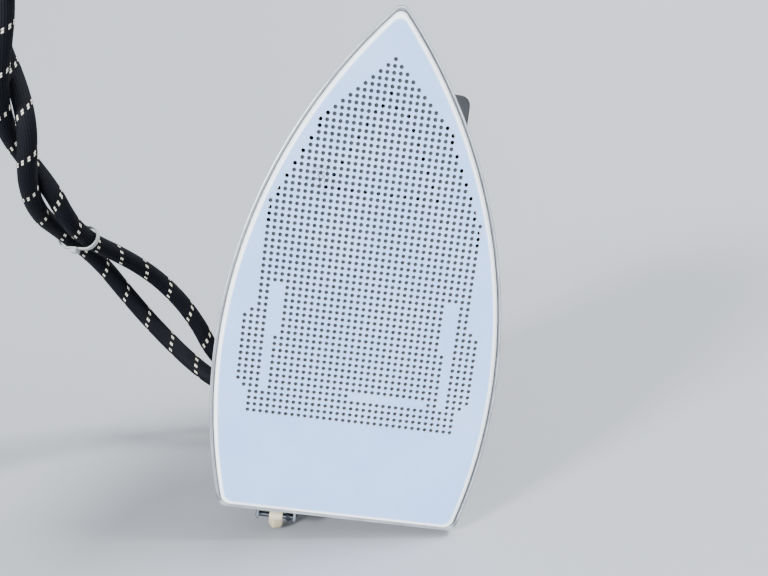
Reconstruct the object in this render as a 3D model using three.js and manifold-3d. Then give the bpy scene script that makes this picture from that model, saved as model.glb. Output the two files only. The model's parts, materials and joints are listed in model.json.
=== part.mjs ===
// An electric steam iron for laundry work, with a perforated PTFE shoe over its soleplate.
// It stands on its heel, where it rests on three points: the pull tab of the shoe's heel latch,
// one rear corner of the shoe's frame and one rubber foot on the rear cover.
// Millimetres. Each piece is built in the iron's own frame: +X to the toe, +Y to the user's left,
// +Z from the sole towards the handle, z = 0 on the outer face of the shoe.
// The outer group then stands the iron up, with +Z up and the sole facing -Y.
import * as THREE from 'three';
import { mergeGeometries, mergeVertices } from 'three/addons/utils/BufferGeometryUtils.js';
import Module from 'manifold-3d';

// ---------------------------------------------------------------- driving dimensions

const GAP = 0.3; // between pieces that seat on each other

// Outline of the sole: one long arc for each side, a rounded toe and a straight heel.
const SIDE_RADIUS = 236.5;
const HALF_WIDTH = 60.5; // of the PTFE plate at its widest
const WIDEST_X = -56;
const HEEL_X = -120.6;
const TOE_RADIUS = 3.5;
const HEEL_CORNER_RADIUS = 4.5;

// Shoe
const PTFE_THICKNESS = 2;
const PTFE_EDGE_RADIUS = 1.8;
const HOLE_PITCH = 2.8; // of the perforations, square
const HOLE_RADIUS = 0.6;
const FRAME_WALL = 1.45;
const FRAME_PLAY = 0.45; // round the PTFE plate and round the soleplate's flange
const FRAME_LIP_Z = 0.9; // the frame's edge stands back from the PTFE face
const FRAME_HEIGHT = 13;
const LEDGE_THICKNESS = 1.2;
const LEDGE_WIDTH = 4.5;
const TOE_LIP_X = 93.3;
const TOE_LIP_THICKNESS = 1.2;

// Soleplate casting
const SOLEPLATE_INSET = 1;
const SOLEPLATE_THICKNESS = 18.2;
const CAST_EDGE = 1.2; // chamfer at the foot
const TOE_SLOPE_X = 76; // the toe slopes down from here
const TOE_SLOPE = 0.6235; // drop per mm
const VENT_RADIUS = 1.1;
const VENT_SIDES = 5;
const EDGE_VENT_PLAY = 1.7; // from the edge channel's outer wall
const CHAMBER_FLOOR = 5.2; // metal left under the steam space
const CHANNEL_WALL = 2; // outside the steam channel
const CHANNEL_WIDTH = 5;
const CHANNEL_FRONT_X = 71;
const CHANNEL_REAR_X = -60;
const GROOVE_WALL = 1.2;
const CHAMBER_HEEL_X = -108;
const RIB_THICKNESS = 3;
const RIB_PITCH = 18;
const RIB_COUNT = 6;
const RIB_GATE = 14; // open end of each rib
const FIRST_RIB_X = -92;
const PORT_PLACES = [33, -45]; // x of the ports from the chamber to the edge channels
const PORT_WIDTH = 6;
const PORT_HEIGHT = 2.6;
const TOP_EDGE = 0.6;

// Heater
const HEATER_RADIUS = 3.2;
const HEATER_PLAY = 0.45;
const HEATER_BEND = 8; // at the toe
const HEATER_TURN = 5; // where its ends turn up
const HEATER_SEAT = 3.4; // metal left under its groove, above the steam space's floor
const HEATER_REAR_X = -74;
const TERMINAL_TOP = 8; // above the chamber cover

// Steam space cover
const GASKET_THICKNESS = 0.8;
const LID_THICKNESS = 2;
const LID_HEEL_X = -112;
const LID_INSET = 2.2;
const LID_NOSE = 26;
const LID_CORNER = 6;
const CHAMBER_CORNER = 8;
const GASKET_NOSE = 14; // of the opening in the gasket
const GASKET_PLAY = 0.2;
const GASKET_HEEL_PLAY = 1.5;
const TERMINAL_PLAY = 0.4;
const INLET_RADIUS = 4;

// Skirt, the painted steel cover
const SKIRT_INSET = 5.5;
const SKIRT_HEEL_X = -92;
const SKIRT_TOP = 60;
const SKIRT_WALL = 1.6;
const SKIRT_CENTRE_X = -40;
const SKIRT_CROWN = [ // height share, length share, width share
  [0, 1, 1], [0.35, 0.98, 0.98], [0.66, 0.945, 0.905], [0.87, 0.905, 0.79],
  [0.98, 0.87, 0.66], [1, 0.85, 0.61],
];

// Temperature control
const DIAL_X = 8;
const DIAL_RADIUS = 20;
const DIAL_HEIGHT = 10;
const DIAL_PLAY = 0.4; // above the skirt
const DIAL_FLUTES = 18;
const FLUTE_POINTS = 2;
const FLUTE_DEPTH = 1.4;
const POINTER_HALF_WIDTH = 3;
const POINTER_RISE = 2.5;
const SPINDLE_RADIUS = 3;
const SPINDLE_GRIP = 7; // length held in the knob, and in the thermostat
const THERMOSTAT_RADIUS = 16;
const THERMOSTAT_FLANGE = 4;
const THERMOSTAT_BODY = 22; // square
const THERMOSTAT_HEIGHT = 14;
const THERMOSTAT_NECK = 22; // top of its neck, above its seat
const NECK_WALL = 2.6;
const SHIELD_THICKNESS = 1.2;
const SHIELD_RISE = 20; // above the chamber cover
const SHIELD_REAR_X = -66;
const SHIELD_LEG = [6, 3]; // a leg's section
const SHIELD_LEG_PLACES = [[32, 15], [32, -15], [SHIELD_REAR_X + 6, 26], [SHIELD_REAR_X + 6, -26]];
const FUSE_PLACE = [-34, 26];
const FUSE_RADIUS = 4;
const FUSE_LENGTH = 26;
const FUSE_CLIP = [8, 14, 5];
const LAMP_X = -44;
const LAMP_RADIUS = 5;
const LAMP_DEPTH = 6; // below the skirt's top
const LAMP_RISE = 5.2;
const LAMP_RIM = 1.6;

// Handle
const HANDLE_Z = 112;
const GRIP_FRONT_X = 36;
const GRIP_REAR_X = -60.4;
const GRIP_RADIUS = 17.5;
const GRIP_END_RADIUS = 15;
const GRIP_EDGE = 1.2;
const ROD_RADIUS = 4;
const ROD_PLAY = 0.35;
const ROD_REAR_X = -74;
const ROD_STICKS_OUT = 5.5; // into the domed nut
const COLLAR_RADIUS = 16.3;
const COLLAR_THICKNESS = 3.4;
const COLLAR_EDGE = 1;
const POST_FRONT_X = 60;
const POST_HALF_WIDTH = 12;
const POST_CORNER = 6;
const POST_DIAL_PLAY = 1.2;
const DOME_RADIUS = 7.4;
const DOME_LENGTH = 10;
const REAR_NUT_RADIUS = 8;
const REAR_NUT_LENGTH = 5;

// Rear housing
const HOUSING_HALF_WIDTH = 25;
const HOUSING_TOP = HANDLE_Z + 18;
const HOUSING_WALL = 2.4;
const HOUSING_FLOOR = 4;
const HOUSING_REAR_X = -106;
const HOUSING_CORNER = 8;
const COVER_DEPTH = 2.5;
const FOOT_LENGTH = 3.9; // of each rubber foot
const FOOT_Y = HOUSING_HALF_WIDTH - 5;
const FOOT_Z = HANDLE_Z - 6;
const FOOT_RADIUS = 6.5;
const WIRE_HOLE_X = -73;
const WIRE_HOLE_RADIUS = 6;
const TERMINAL_DROP = 28; // of the block's foot below the grip's middle
const TERMINALS = { depth: 12, width: 28, bottom: HANDLE_Z - TERMINAL_DROP, height: 14 };
const POLE_SPACING = 9;
const POLE_RADIUS = 2.4;
const POLE_DEPTH = 6;
const POLE_SCREW_RADIUS = 2;
const POLE_SCREW_RISE = 9;
const POLE_SCREW_Z = TERMINALS.bottom + POLE_SCREW_RISE;
const LEAD_RADIUS = 1.3;

// Steam switch, under the user's left thumb side
const SWITCH_REAR_X = 36;
const SWITCH_FRONT_X = 72;
const SWITCH_OUTER_Y = 42.5;
const SWITCH_DROP = 7; // of its rim below the grip's middle
const SWITCH_HEIGHT = 23;
const SWITCH_TOP = HANDLE_Z - SWITCH_DROP;
const SWITCH_BOTTOM = SWITCH_TOP - SWITCH_HEIGHT;
const SWITCH_WALL = 2;
const SWITCH_CORNER = 5;
const SWITCH_SLOPE = 4.6; // drop of its rim towards the thumb
const SWITCH_CHAMFER = 5;
const LEVER_PIN_X = SWITCH_FRONT_X - 6;
const LEVER_PIN_Z = SWITCH_TOP - 4.5;
const LEVER_PIN_RADIUS = 1.5;
const LEVER_TIP_X = 13;
const LEVER_INNER_Y = 19.5;
const LEVER_OUTER_Y = SWITCH_OUTER_Y - 2.5;
const LEVER_THICKNESS = 4.5;
const LEVER_RISE = 0.6; // above the box's rim
const LEVER_EYE_RADIUS = 3.4;
const LEVER_EYE_WIDTH = 4;
const LEVER_EYE_INSET = 1.5;
const DISH_RADIUS = 20.2; // of the thumb's hollow
const DISH_RISE = 19;
const LEVER_WIRE = 0.5;
const LEVER_COIL_PLAY = 0.9;
const PLUNGER_X = SWITCH_REAR_X + 8;
const PLUNGER_RADIUS = 2;
const PLUNGER_SUNK = 3.8; // in the micro switch
const MICRO_TOP = SWITCH_TOP - 7;
const MICRO_LENGTH = 21;
const MICRO_WIDTH = 10;
const MICRO_PLAY = 1;
const MICRO_WELL = 7;

// Steam and power entries, on the user's right
const HOSE_X = -94.5;
const HOSE_Z = 109;
const HOSE_RADIUS = 4.25;
const CABLE_X = -95.5;
const CABLE_Z = 88;
const CABLE_RADIUS = 4.25;
const BLOCK_DEPTH = 9; // of the brass block
const BLOCK_BOTTOM = 101;
const BLOCK_TOP = 118;
const BLOCK_CORNER = 2.5;
const BLOCK_BORE = 2.6;
const BLOCK_MARGIN = 9.5; // behind the hose's axis
const NUT_RADIUS = 8.4;
const NUT_LENGTH = 4.5;
const FERRULE_LENGTH = 6;
const CORD_PLAY = 0.5;
const PIPE_RADIUS = 3.5;
const PIPE_PLAY = 0.4;
const PIPE_SEAT = 5; // depth of its seat in the block
const PIPE_MARGIN = 2.5; // from the pipe's axis to the block's front, past its radius
const PIPE_X = -80;
const INLET_X = -101;
const INLET_Y = -26;
const BOSS_RADIUS = 7.5;
const BOSS_NECK_RADIUS = 6;
const BOSS_HEIGHT = 9.5;
const BOSS_NECK = 3;
const BOSS_FLOOR = 3.5;
const BOSS_BORE = 2.4;
const GLAND_FLANGE = 2.2;
const GLAND_RADIUS = 5.2;
const GLAND_LIP = 2;
const GLAND_TAIL = 3; // inside the housing's wall
const BOOT_LENGTH = 22;
const BOOT_RADIUS = 7;
const BOOT_RIBS = 3;

// Heel latch of the shoe
const LATCH_Y = -27; // middle of the pull tab
const LATCH_PIN_Z = 5;
const LATCH_PIN_RADIUS = 1.2;
const LATCH_BODY_RADIUS = 2.2;
const LATCH_BODY_TOP = 15;
const LATCH_COIL = 3; // room beside the body for its spring
const LATCH_WIRE = 0.35;
const TAB_SIZE = 5.3;
const TAB_REACH = 7.8; // from the pin to its tip
const TAB_RISE = 3.5; // above the pin
const EAR_SPAN = 14.6; // clear, between the two ears
const EAR_THICKNESS = 2;
const EAR_MARGIN = 0.4; // round the latch's body
const EAR_ROOT = [4.5, -3.2]; // top and bottom of its root, from the pin
const HOOK_THICKNESS = 0.8;
const HOOK_SOCKET = 2; // depth in the latch's body
const HOOK_SIDE = 1.5; // latch body left on either side
const HOOK_BEND = 2.4;
const HOOK_RISE = 2.6; // above the soleplate
const HOOK_REACH = 4.6; // over the soleplate's heel
const HOOK_LIP = 1.8;

// Routes of the two cords, chosen by hand, from the iron up to the hanger.
const HOSE_ROUTE = [
  [-94.5, -37, 109], [-94.5, -46, 109], [-92.5, -56, 109], [-87.5, -66, 108.5], [-78, -75.5, 107.5],
  [-65.5, -83.5, 105], [-53.5, -93, 101.5], [-42.5, -104, 95.5], [-34, -114.5, 87],
  [-27.5, -124, 77.5], [-22.5, -131, 67.5], [-17.5, -135.5, 58], [-12, -139, 50], [-5.5, -142, 44],
  [1.5, -145.5, 40.5], [8, -150, 38.5], [14.5, -155, 36], [21, -159.5, 31.5], [28, -162.5, 25],
  [36, -163.5, 17.5], [44, -163.5, 11.5], [52.5, -163, 7.5], [60.5, -162, 5], [69, -161, 3],
  [77, -160.5, 2], [85, -160.7, 1.4], [94, -161.1, 0.95], [103, -161.5, 0.5],
];
const CABLE_ROUTE = [
  [-95.5, -29, 88], [-95.5, -41, 88], [-95.5, -50, 88], [-94, -60, 89.5], [-90, -72, 92.5],
  [-84, -83.5, 96], [-75, -96, 98], [-63, -109, 96.5], [-49.5, -121, 92], [-37, -130.5, 85],
  [-28, -137.5, 76], [-21.5, -143, 66.5], [-15.5, -147.5, 57], [-9.5, -151.5, 46.5],
  [-2, -153.5, 36.5], [7, -154, 28], [15.5, -153.5, 22.5], [24, -153, 19.5], [33, -153.5, 18],
  [41, -155.5, 18.5], [48.5, -158.5, 19.5], [56, -162, 20], [62.5, -165, 18.5], [69.5, -167, 16],
  [76.5, -169, 13.2], [85, -170.7, 10.9], [94, -171.1, 10.45], [103, -171.5, 10],
];
const TIE_AT = 10.7; // place of the cable tie, in points along the hose's route
const TIE_PLAY = 0.9;
const TIE_THICKNESS = 1.1;
const TIE_WIDTH = 3.6;
const TIE_HEAD = 5;
const HANGER_GRIP = 13; // length of cord held in the hanger's block
const HANGER_WALL = 3;
const HANGER_EYE = 3; // radius
const HANGER_EYE_RIM = 2.5;
const HOOK_WIRE = 1.2;

// ---------------------------------------------------------------- materials

const finish = (color, roughness, metalness = 0) =>
  new THREE.MeshStandardMaterial({ color, roughness, metalness, flatShading: true });
const PTFE = finish(0xd3dde6, 0.45);
const ALUMINIUM = finish(0xb9bcc0, 0.4, 1);
const CASTING = finish(0x9b9c9d, 0.6, 1);
const STEEL = finish(0xc4c6c8, 0.28, 1);
const BRASS = finish(0xb5914a, 0.35, 1);
const PAINT = finish(0x4a4d55, 0.4, 0.2);
const BLACK_PLASTIC = finish(0x2b2c31, 0.5);
const CORK = finish(0xb08a5c, 0.9);
const NYLON = finish(0xc9c5a8, 0.55);
const RUBBER = finish(0x1d1d1f, 0.85);
const BRAID = finish(0x15161b, 0.7);
const CERAMIC = finish(0xe6e2d6, 0.6);
const GRAPHITE = finish(0x3a3a3c, 0.8);
const AMBER = finish(0xd98a1e, 0.25);
const TIE_PLASTIC = finish(0xc9ccc8, 0.5);

// ---------------------------------------------------------------- shapes

const wasm = await Module();
wasm.setup();

const point = (x, y) => new THREE.Vector2(x, y);
const turn = THREE.MathUtils.degToRad;

// Points along an arc, both ends included.
function arc(x, y, radius, from, to, steps) {
  return Array.from({ length: steps + 1 }, (_, i) => {
    const angle = from + ((to - from) * i) / steps;
    return point(x + radius * Math.cos(angle), y + radius * Math.sin(angle));
  });
}

const circle = (x, y, radius, sides) => arc(x, y, radius, 0, 2 * Math.PI, sides).slice(0, -1);

function roundedRectangle(x0, x1, y0, y1, radius, steps = 3) {
  const right = Math.PI / 2;
  return [
    ...arc(x1 - radius, y1 - radius, radius, 0, right, steps),
    ...arc(x0 + radius, y1 - radius, radius, right, 2 * right, steps),
    ...arc(x0 + radius, y0 + radius, radius, 2 * right, 3 * right, steps),
    ...arc(x1 - radius, y0 + radius, radius, 3 * right, 4 * right, steps),
  ];
}

// Half width of the sole's outline at x, drawn in by inset.
const ARC_Y = HALF_WIDTH - SIDE_RADIUS;
const halfWidth = (x, inset = 0) =>
  ARC_Y + Math.sqrt((SIDE_RADIUS - inset) ** 2 - (x - WIDEST_X) ** 2);

// The sole's outline drawn in by inset, or let out where inset is negative.
function soleOutline(inset, { nose = TOE_RADIUS, corner = HEEL_CORNER_RADIUS,
  heel = HEEL_X + inset, steps = 9 } = {}) {
  const radius = SIDE_RADIUS - inset;
  const noseX = WIDEST_X + Math.sqrt((radius - nose) ** 2 - ARC_Y ** 2);
  const noseAngle = Math.atan2(-ARC_Y, noseX - WIDEST_X);
  const cornerX = heel + corner;
  const cornerY = halfWidth(cornerX, inset + corner);
  const cornerAngle = Math.atan2(cornerY - ARC_Y, cornerX - WIDEST_X);
  const left = [
    ...arc(noseX, 0, nose, 0, noseAngle, 3),
    ...arc(WIDEST_X, ARC_Y, radius, noseAngle, cornerAngle, steps).slice(1),
    ...arc(cornerX, cornerY, corner, cornerAngle, Math.PI, 3).slice(1),
  ];
  const right = left.slice(1).reverse().map((p) => point(p.x, -p.y));
  return [...left, ...right];
}

// A closed body through rings of points, each ring convex and counterclockwise seen from the last.
function loft(rings) {
  const count = rings[0].length;
  const last = (rings.length - 1) * count;
  const index = [];
  for (let start = 0; start < last; start += count) {
    for (let i = 0; i < count; i++) {
      const next = (i + 1) % count;
      index.push(start + i, start + next, start + next + count);
      index.push(start + i, start + next + count, start + i + count);
    }
  }
  for (let i = 1; i + 1 < count; i++) index.push(0, i + 1, i, last, last + i, last + i + 1);
  const positions = rings.flat().flatMap((p) => [p.x, p.y, p.z]);
  return new THREE.BufferGeometry()
    .setAttribute('position', new THREE.Float32BufferAttribute(positions, 3))
    .setIndex(index);
}

const atHeight = (outline, z) => outline.map((p) => new THREE.Vector3(p.x, p.y, z));

// A stack of sole outlines, from [height, inset] pairs.
const stack = (levels, options) =>
  loft(levels.map(([z, inset]) => atHeight(soleOutline(inset, options), z)));

function prism(outline, z0, z1, holes = []) {
  const shape = new THREE.Shape(outline);
  shape.holes = holes.map((hole) => new THREE.Path(hole));
  return new THREE.ExtrudeGeometry(shape, { depth: z1 - z0, bevelEnabled: false })
    .translate(0, 0, z0);
}

// A side view in X and Z, carried across from y0 to y1.
const slab = (outline, y0, y1, holes) =>
  prism(outline, -y1, -y0, holes).rotateX(Math.PI / 2);

const box = (x0, x1, y0, y1, z0, z1) =>
  new THREE.BoxGeometry(x1 - x0, y1 - y0, z1 - z0)
    .translate((x0 + x1) / 2, (y0 + y1) / 2, (z0 + z1) / 2);

// A body turned about Z, from [radius, height] pairs that go up its outside; a closed ring for a sleeve.
const turned = (profile, sides = 24) =>
  new THREE.LatheGeometry(profile.map(([r, h]) => point(r, h)), sides).rotateX(Math.PI / 2);

const cylinder = (radius, z0, z1, sides = 24) =>
  turned([[0, z0], [radius, z0], [radius, z1], [0, z1]], sides);

function sleeve(outer, inner, z0, z1, sides = 24) {
  return turned([[inner, z0], [outer, z0], [outer, z1], [inner, z1], [inner, z0]], sides);
}

const hexagon = (radius) => circle(0, 0, radius, 6);
const alongX = (geometry) => geometry.rotateY(Math.PI / 2);
const alongMinusY = (geometry) => geometry.rotateX(Math.PI / 2);

// A curve whose steps follow its own points, which lie closer together round its bends.
class Route extends THREE.CatmullRomCurve3 {
  getUtoTmapping(u) {
    return u;
  }
}

const vectors = (points) => points.map((p) => new THREE.Vector3(...p));
const curveThrough = (points) => new THREE.CatmullRomCurve3(vectors(points));

function tube(curve, radius, steps, sides) {
  const section = new THREE.Shape(circle(0, 0, radius, sides));
  return new THREE.ExtrudeGeometry(section, { steps, extrudePath: curve });
}

// A wound spring: a helix about Z from height z0, with straight legs left out.
class Helix extends THREE.Curve {
  constructor(radius, pitch, turns) {
    super();
    Object.assign(this, { radius, pitch, turns });
  }

  getPoint(t, target = new THREE.Vector3()) {
    const angle = t * this.turns * 2 * Math.PI;
    return target.set(this.radius * Math.cos(angle), this.radius * Math.sin(angle),
      t * this.turns * this.pitch);
  }
}

// ---------------------------------------------------------------- cutting and joining

function solid(geometry) {
  const bare = geometry.clone();
  bare.deleteAttribute('normal');
  bare.deleteAttribute('uv');
  const merged = mergeVertices(bare, 1e-4);
  return new wasm.Manifold(new wasm.Mesh({
    numProp: 3,
    vertProperties: merged.attributes.position.array,
    triVerts: new Uint32Array(merged.index.array),
  }));
}

function geometryOf(manifold) {
  const mesh = manifold.getMesh();
  return new THREE.BufferGeometry()
    .setAttribute('position', new THREE.BufferAttribute(mesh.vertProperties, 3))
    .setIndex(new THREE.BufferAttribute(mesh.triVerts, 1));
}

const cut = (geometry, ...tools) =>
  geometryOf(tools.reduce((body, tool) => body.subtract(solid(tool)), solid(geometry)));
const join = (...geometries) =>
  geometryOf(geometries.map(solid).reduce((body, other) => body.add(other)));
const keep = (geometry, tool) => geometryOf(solid(geometry).intersect(solid(tool)));
const copies = (geometry, places) =>
  mergeGeometries(places.map(([x, y]) => geometry.clone().translate(x, y, 0)));

const FAR = 400; // reaches past the whole iron
const behind = (x) => box(-FAR, x, -FAR, FAR, -FAR, FAR);
const ahead = (x) => box(x, FAR, -FAR, FAR, -FAR, FAR);

function piece(name, geometry, material) {
  const body = geometry.index ? geometry.toNonIndexed() : geometry;
  body.computeVertexNormals();
  const mesh = new THREE.Mesh(body, material);
  mesh.name = name;
  return mesh;
}

// ---------------------------------------------------------------- heights that follow

const LEDGE_Z = PTFE_THICKNESS + GAP;
const SOLE_Z = LEDGE_Z + LEDGE_THICKNESS + GAP; // underside of the soleplate
const SOLE_TOP = SOLE_Z + SOLEPLATE_THICKNESS;
const FLOOR_Z = SOLE_Z + CHAMBER_FLOOR;
const GASKET_Z = SOLE_TOP + GAP;
const LID_Z = GASKET_Z + GASKET_THICKNESS + GAP;
const LID_TOP = LID_Z + LID_THICKNESS;
const SKIRT_Z = LID_TOP + GAP;
const POST_Z = SKIRT_TOP + GAP;
const CHANNEL_OUTER = SOLEPLATE_INSET + CHANNEL_WALL;
const CHANNEL_INNER = CHANNEL_OUTER + CHANNEL_WIDTH;
const GROOVE_RADIUS = HEATER_RADIUS + HEATER_PLAY;
const HEATER_INSET = CHANNEL_INNER + GROOVE_WALL + GROOVE_RADIUS;
const CHAMBER_INSET = HEATER_INSET + GROOVE_RADIUS + GROOVE_WALL;
const HEATER_Z = FLOOR_Z + HEATER_SEAT + GROOVE_RADIUS;
const FRAME_REAR_X = HEEL_X - FRAME_PLAY - FRAME_WALL;
const LATCH_PIN_X = FRAME_REAR_X - GAP - LATCH_BODY_RADIUS;
const THERMOSTAT_Z = LID_TOP + GAP;
const NECK_TOP = THERMOSTAT_Z + THERMOSTAT_NECK;
const HOUSING_FRONT_X = GRIP_REAR_X - COLLAR_THICKNESS - 2 * GAP - 0.1;
const HOUSING_INNER_X = HOUSING_FRONT_X - HOUSING_WALL - GAP;
const COVER_SPLIT_X = HOUSING_REAR_X + COVER_DEPTH;
const SWITCH_INNER_Y = POST_HALF_WIDTH + GAP;
const LEVER_Z = SWITCH_TOP + LEVER_RISE;
const LEVER_MIDDLE_Y = (LEVER_INNER_Y + LEVER_OUTER_Y) / 2;
const SIDE_Y = -HOUSING_HALF_WIDTH - GAP; // where fittings seat on the housing's right wall
const PIPE_Y = SIDE_Y - 5;
const CORD_BORE = HOSE_RADIUS + CORD_PLAY;
const CABLE_BORE = CABLE_RADIUS + CORD_PLAY;
const ROD_BORE = ROD_RADIUS + ROD_PLAY;
// The toe ends of the ridge, the heater and the chamber turn about one centre.
const noseAt = (inset) => HEATER_BEND + HEATER_INSET - inset;

// ---------------------------------------------------------------- steam vents

// The perforations lie in rows and columns; row 0 crosses x = 0 and rows count to the heel.
// This is the outermost column of a row that still opens into the edge channel.
const edgeColumn = (row) => Math.floor(
  (halfWidth(-row * HOLE_PITCH, CHANNEL_OUTER) - EDGE_VENT_PLAY) / HOLE_PITCH);
const inChamber = ([x, y]) => Math.abs(y) + VENT_RADIUS / 2 < halfWidth(x, CHAMBER_INSET);

// The vents: two arms that spread from the toe, a bar across them and one line along each edge.
function ventPlaces() {
  const cells = [[0, -24], [-1, -22], [1, -22]];
  for (let row = -21; row <= -9; row += 2) {
    const arm = (row + 26) / 2;
    cells.push([0.5 - arm, row], [0.5 + arm, row]);
  }
  for (let column = -6; column <= 6; column += 2) cells.push([column, -9]);
  const edges = [-20, -19, -18, -16, -14, -12, -10, -8, -7, -5, -4, -3].flatMap((row) =>
    [[-edgeColumn(row), row], [edgeColumn(row), row]]);
  const placeOf = ([column, row]) => [-row * HOLE_PITCH, column * HOLE_PITCH];
  return [...cells.map(placeOf).filter(inChamber), ...edges.map(placeOf)];
}

// ---------------------------------------------------------------- shoe

function ptfeSole() {
  const edge = [0, 45, 90].map(turn).map((angle) =>
    [PTFE_EDGE_RADIUS * (1 - Math.cos(angle)), PTFE_EDGE_RADIUS * (1 - Math.sin(angle))]);
  const plate = stack([...edge, [PTFE_THICKNESS, 0]]);
  const hole = prism(circle(0, 0, HOLE_RADIUS, VENT_SIDES), -1, PTFE_THICKNESS + 1);
  return cut(plate, copies(hole, ventPlaces()));
}

function shoeFrame() {
  const outer = -FRAME_PLAY - FRAME_WALL;
  const softEdge = 0.4;
  const tray = stack([
    [FRAME_LIP_Z, outer + softEdge], [FRAME_LIP_Z + softEdge, outer],
    [FRAME_HEIGHT - softEdge, outer], [FRAME_HEIGHT, outer + softEdge],
  ]);
  const plateSeat = prism(soleOutline(-FRAME_PLAY), -1, LEDGE_Z);
  const ironSeat = prism(soleOutline(-FRAME_PLAY), LEDGE_Z + LEDGE_THICKNESS, FRAME_HEIGHT + 1);
  const window = prism(soleOutline(LEDGE_WIDTH), -1, FRAME_HEIGHT + 1);
  const toeLip = keep(
    prism(soleOutline(outer / 2), FRAME_HEIGHT - TOE_LIP_THICKNESS, FRAME_HEIGHT),
    ahead(TOE_LIP_X),
  );
  const ear = earProfile();
  const ears = [-1, 1].map((side) => {
    const inner = LATCH_Y + side * EAR_SPAN / 2;
    return slab(ear, Math.min(inner, inner + side * EAR_THICKNESS),
      Math.max(inner, inner + side * EAR_THICKNESS));
  });
  const pinHole = latchCross(LATCH_PIN_RADIUS + GAP, EAR_SPAN + 4 * EAR_THICKNESS);
  const frame = join(cut(tray, plateSeat, ironSeat, window), toeLip, ...ears);
  return cut(frame, pinHole);
}

// ---------------------------------------------------------------- heel latch

// A rod across the iron through the latch's pin, length long and centred on the tab.
const latchCross = (radius, length, middle = LATCH_Y) =>
  slab(circle(LATCH_PIN_X, LATCH_PIN_Z, radius, 16), middle - length / 2, middle + length / 2);

const earProfile = () => [
  point(FRAME_REAR_X + FRAME_WALL / 2, LATCH_PIN_Z + EAR_ROOT[0]),
  ...arc(LATCH_PIN_X, LATCH_PIN_Z, LATCH_BODY_RADIUS + EAR_MARGIN, Math.PI / 2, 1.5 * Math.PI, 6),
  point(FRAME_REAR_X + FRAME_WALL / 2, LATCH_PIN_Z + EAR_ROOT[1]),
];

const latchNear = LATCH_Y - EAR_SPAN / 2 + GAP;
const latchFar = LATCH_Y + EAR_SPAN / 2 - GAP - LATCH_COIL;
const hookFoot = LATCH_BODY_TOP - HOOK_SOCKET;

function latchTab() {
  const profile = [
    ...arc(LATCH_PIN_X, LATCH_PIN_Z, LATCH_BODY_RADIUS, Math.PI, 2 * Math.PI, 8),
    point(LATCH_PIN_X + LATCH_BODY_RADIUS, LATCH_BODY_TOP),
    point(LATCH_PIN_X - LATCH_BODY_RADIUS, LATCH_BODY_TOP),
  ];
  const half = TAB_SIZE / 2;
  const tab = box(LATCH_PIN_X - TAB_REACH, LATCH_PIN_X, -half, half, -half, half)
    .rotateX(Math.PI / 4).translate(0, LATCH_Y, LATCH_PIN_Z + TAB_RISE);
  const slotHalf = HOOK_THICKNESS / 2 + GAP;
  const slot = box(LATCH_PIN_X - slotHalf, LATCH_PIN_X + slotHalf, latchNear - 1, latchFar + 1,
    hookFoot - GAP, LATCH_BODY_TOP + 1);
  const body = slab(profile, latchNear, latchFar);
  return cut(join(body, tab), slot, latchCross(LATCH_PIN_RADIUS + GAP, FAR));
}

// A spring steel strip: up from the latch's body, over the soleplate's heel and down onto it.
function latchHook() {
  const half = HOOK_THICKNESS / 2;
  const top = SOLE_TOP + HOOK_RISE;
  const nose = HEEL_X + HOOK_REACH;
  const line = [
    point(LATCH_PIN_X, hookFoot),
    ...arc(LATCH_PIN_X + HOOK_BEND, top - HOOK_BEND, HOOK_BEND, Math.PI, Math.PI / 2, 4),
    point(nose, SOLE_TOP + GAP + half), point(nose + HOOK_LIP, SOLE_TOP + GAP + half + 1),
  ];
  const side = line.map((p, i) => {
    const before = line[Math.max(i - 1, 0)];
    const after = line[Math.min(i + 1, line.length - 1)];
    const along = after.clone().sub(before).normalize();
    return point(-along.y * half, along.x * half);
  });
  const above = line.map((p, i) => p.clone().add(side[i]));
  const below = line.map((p, i) => p.clone().sub(side[i]));
  return slab([...below, ...above.reverse()], latchNear + HOOK_SIDE, latchFar - HOOK_SIDE);
}

const latchPin = () => latchCross(LATCH_PIN_RADIUS, EAR_SPAN + 2 * EAR_THICKNESS);

function latchSpring() {
  const wire = LATCH_WIRE;
  const pitch = 0.95;
  return tube(new Helix(LATCH_PIN_RADIUS + GAP + wire, pitch, 2), wire, 20, 5)
    .rotateX(-Math.PI / 2).translate(LATCH_PIN_X, latchFar + GAP + wire, LATCH_PIN_Z);
}

// ---------------------------------------------------------------- sole unit

// The steam space as one cutting body: chamber with its baffles left standing, and edge channels.
function steamSpace() {
  const top = SOLE_TOP + 1;
  const ribs = Array.from({ length: RIB_COUNT }, (_, i) => {
    const x = FIRST_RIB_X + i * RIB_PITCH;
    const side = i % 2 ? 1 : -1;
    const gate = side * (halfWidth(x, CHAMBER_INSET) - RIB_GATE);
    const far = -side * FAR / 2;
    return box(x, x + RIB_THICKNESS, Math.min(gate, far), Math.max(gate, far), 0, top);
  });
  const ends = { nose: noseAt(CHAMBER_INSET), heel: CHAMBER_HEEL_X, corner: CHAMBER_CORNER };
  const chamber = cut(prism(soleOutline(CHAMBER_INSET, ends), FLOOR_Z, top), ...ribs);
  const ring = prism(soleOutline(CHANNEL_OUTER), FLOOR_Z, top,
    [soleOutline(CHANNEL_INNER, { nose: noseAt(CHANNEL_INNER) })]);
  const channels = keep(keep(ring, behind(CHANNEL_FRONT_X)), ahead(CHANNEL_REAR_X));
  const ports = PORT_PLACES.flatMap((x) => [-1, 1].map((side) => {
    const across = [halfWidth(x, CHAMBER_INSET) - PORT_WIDTH / 2, halfWidth(x, CHANNEL_INNER) + 1]
      .map((y) => side * y).sort((a, b) => a - b);
    return box(x - PORT_WIDTH / 2, x + PORT_WIDTH / 2, ...across, FLOOR_Z, FLOOR_Z + PORT_HEIGHT);
  }));
  return [chamber, channels, ...ports];
}

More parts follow.
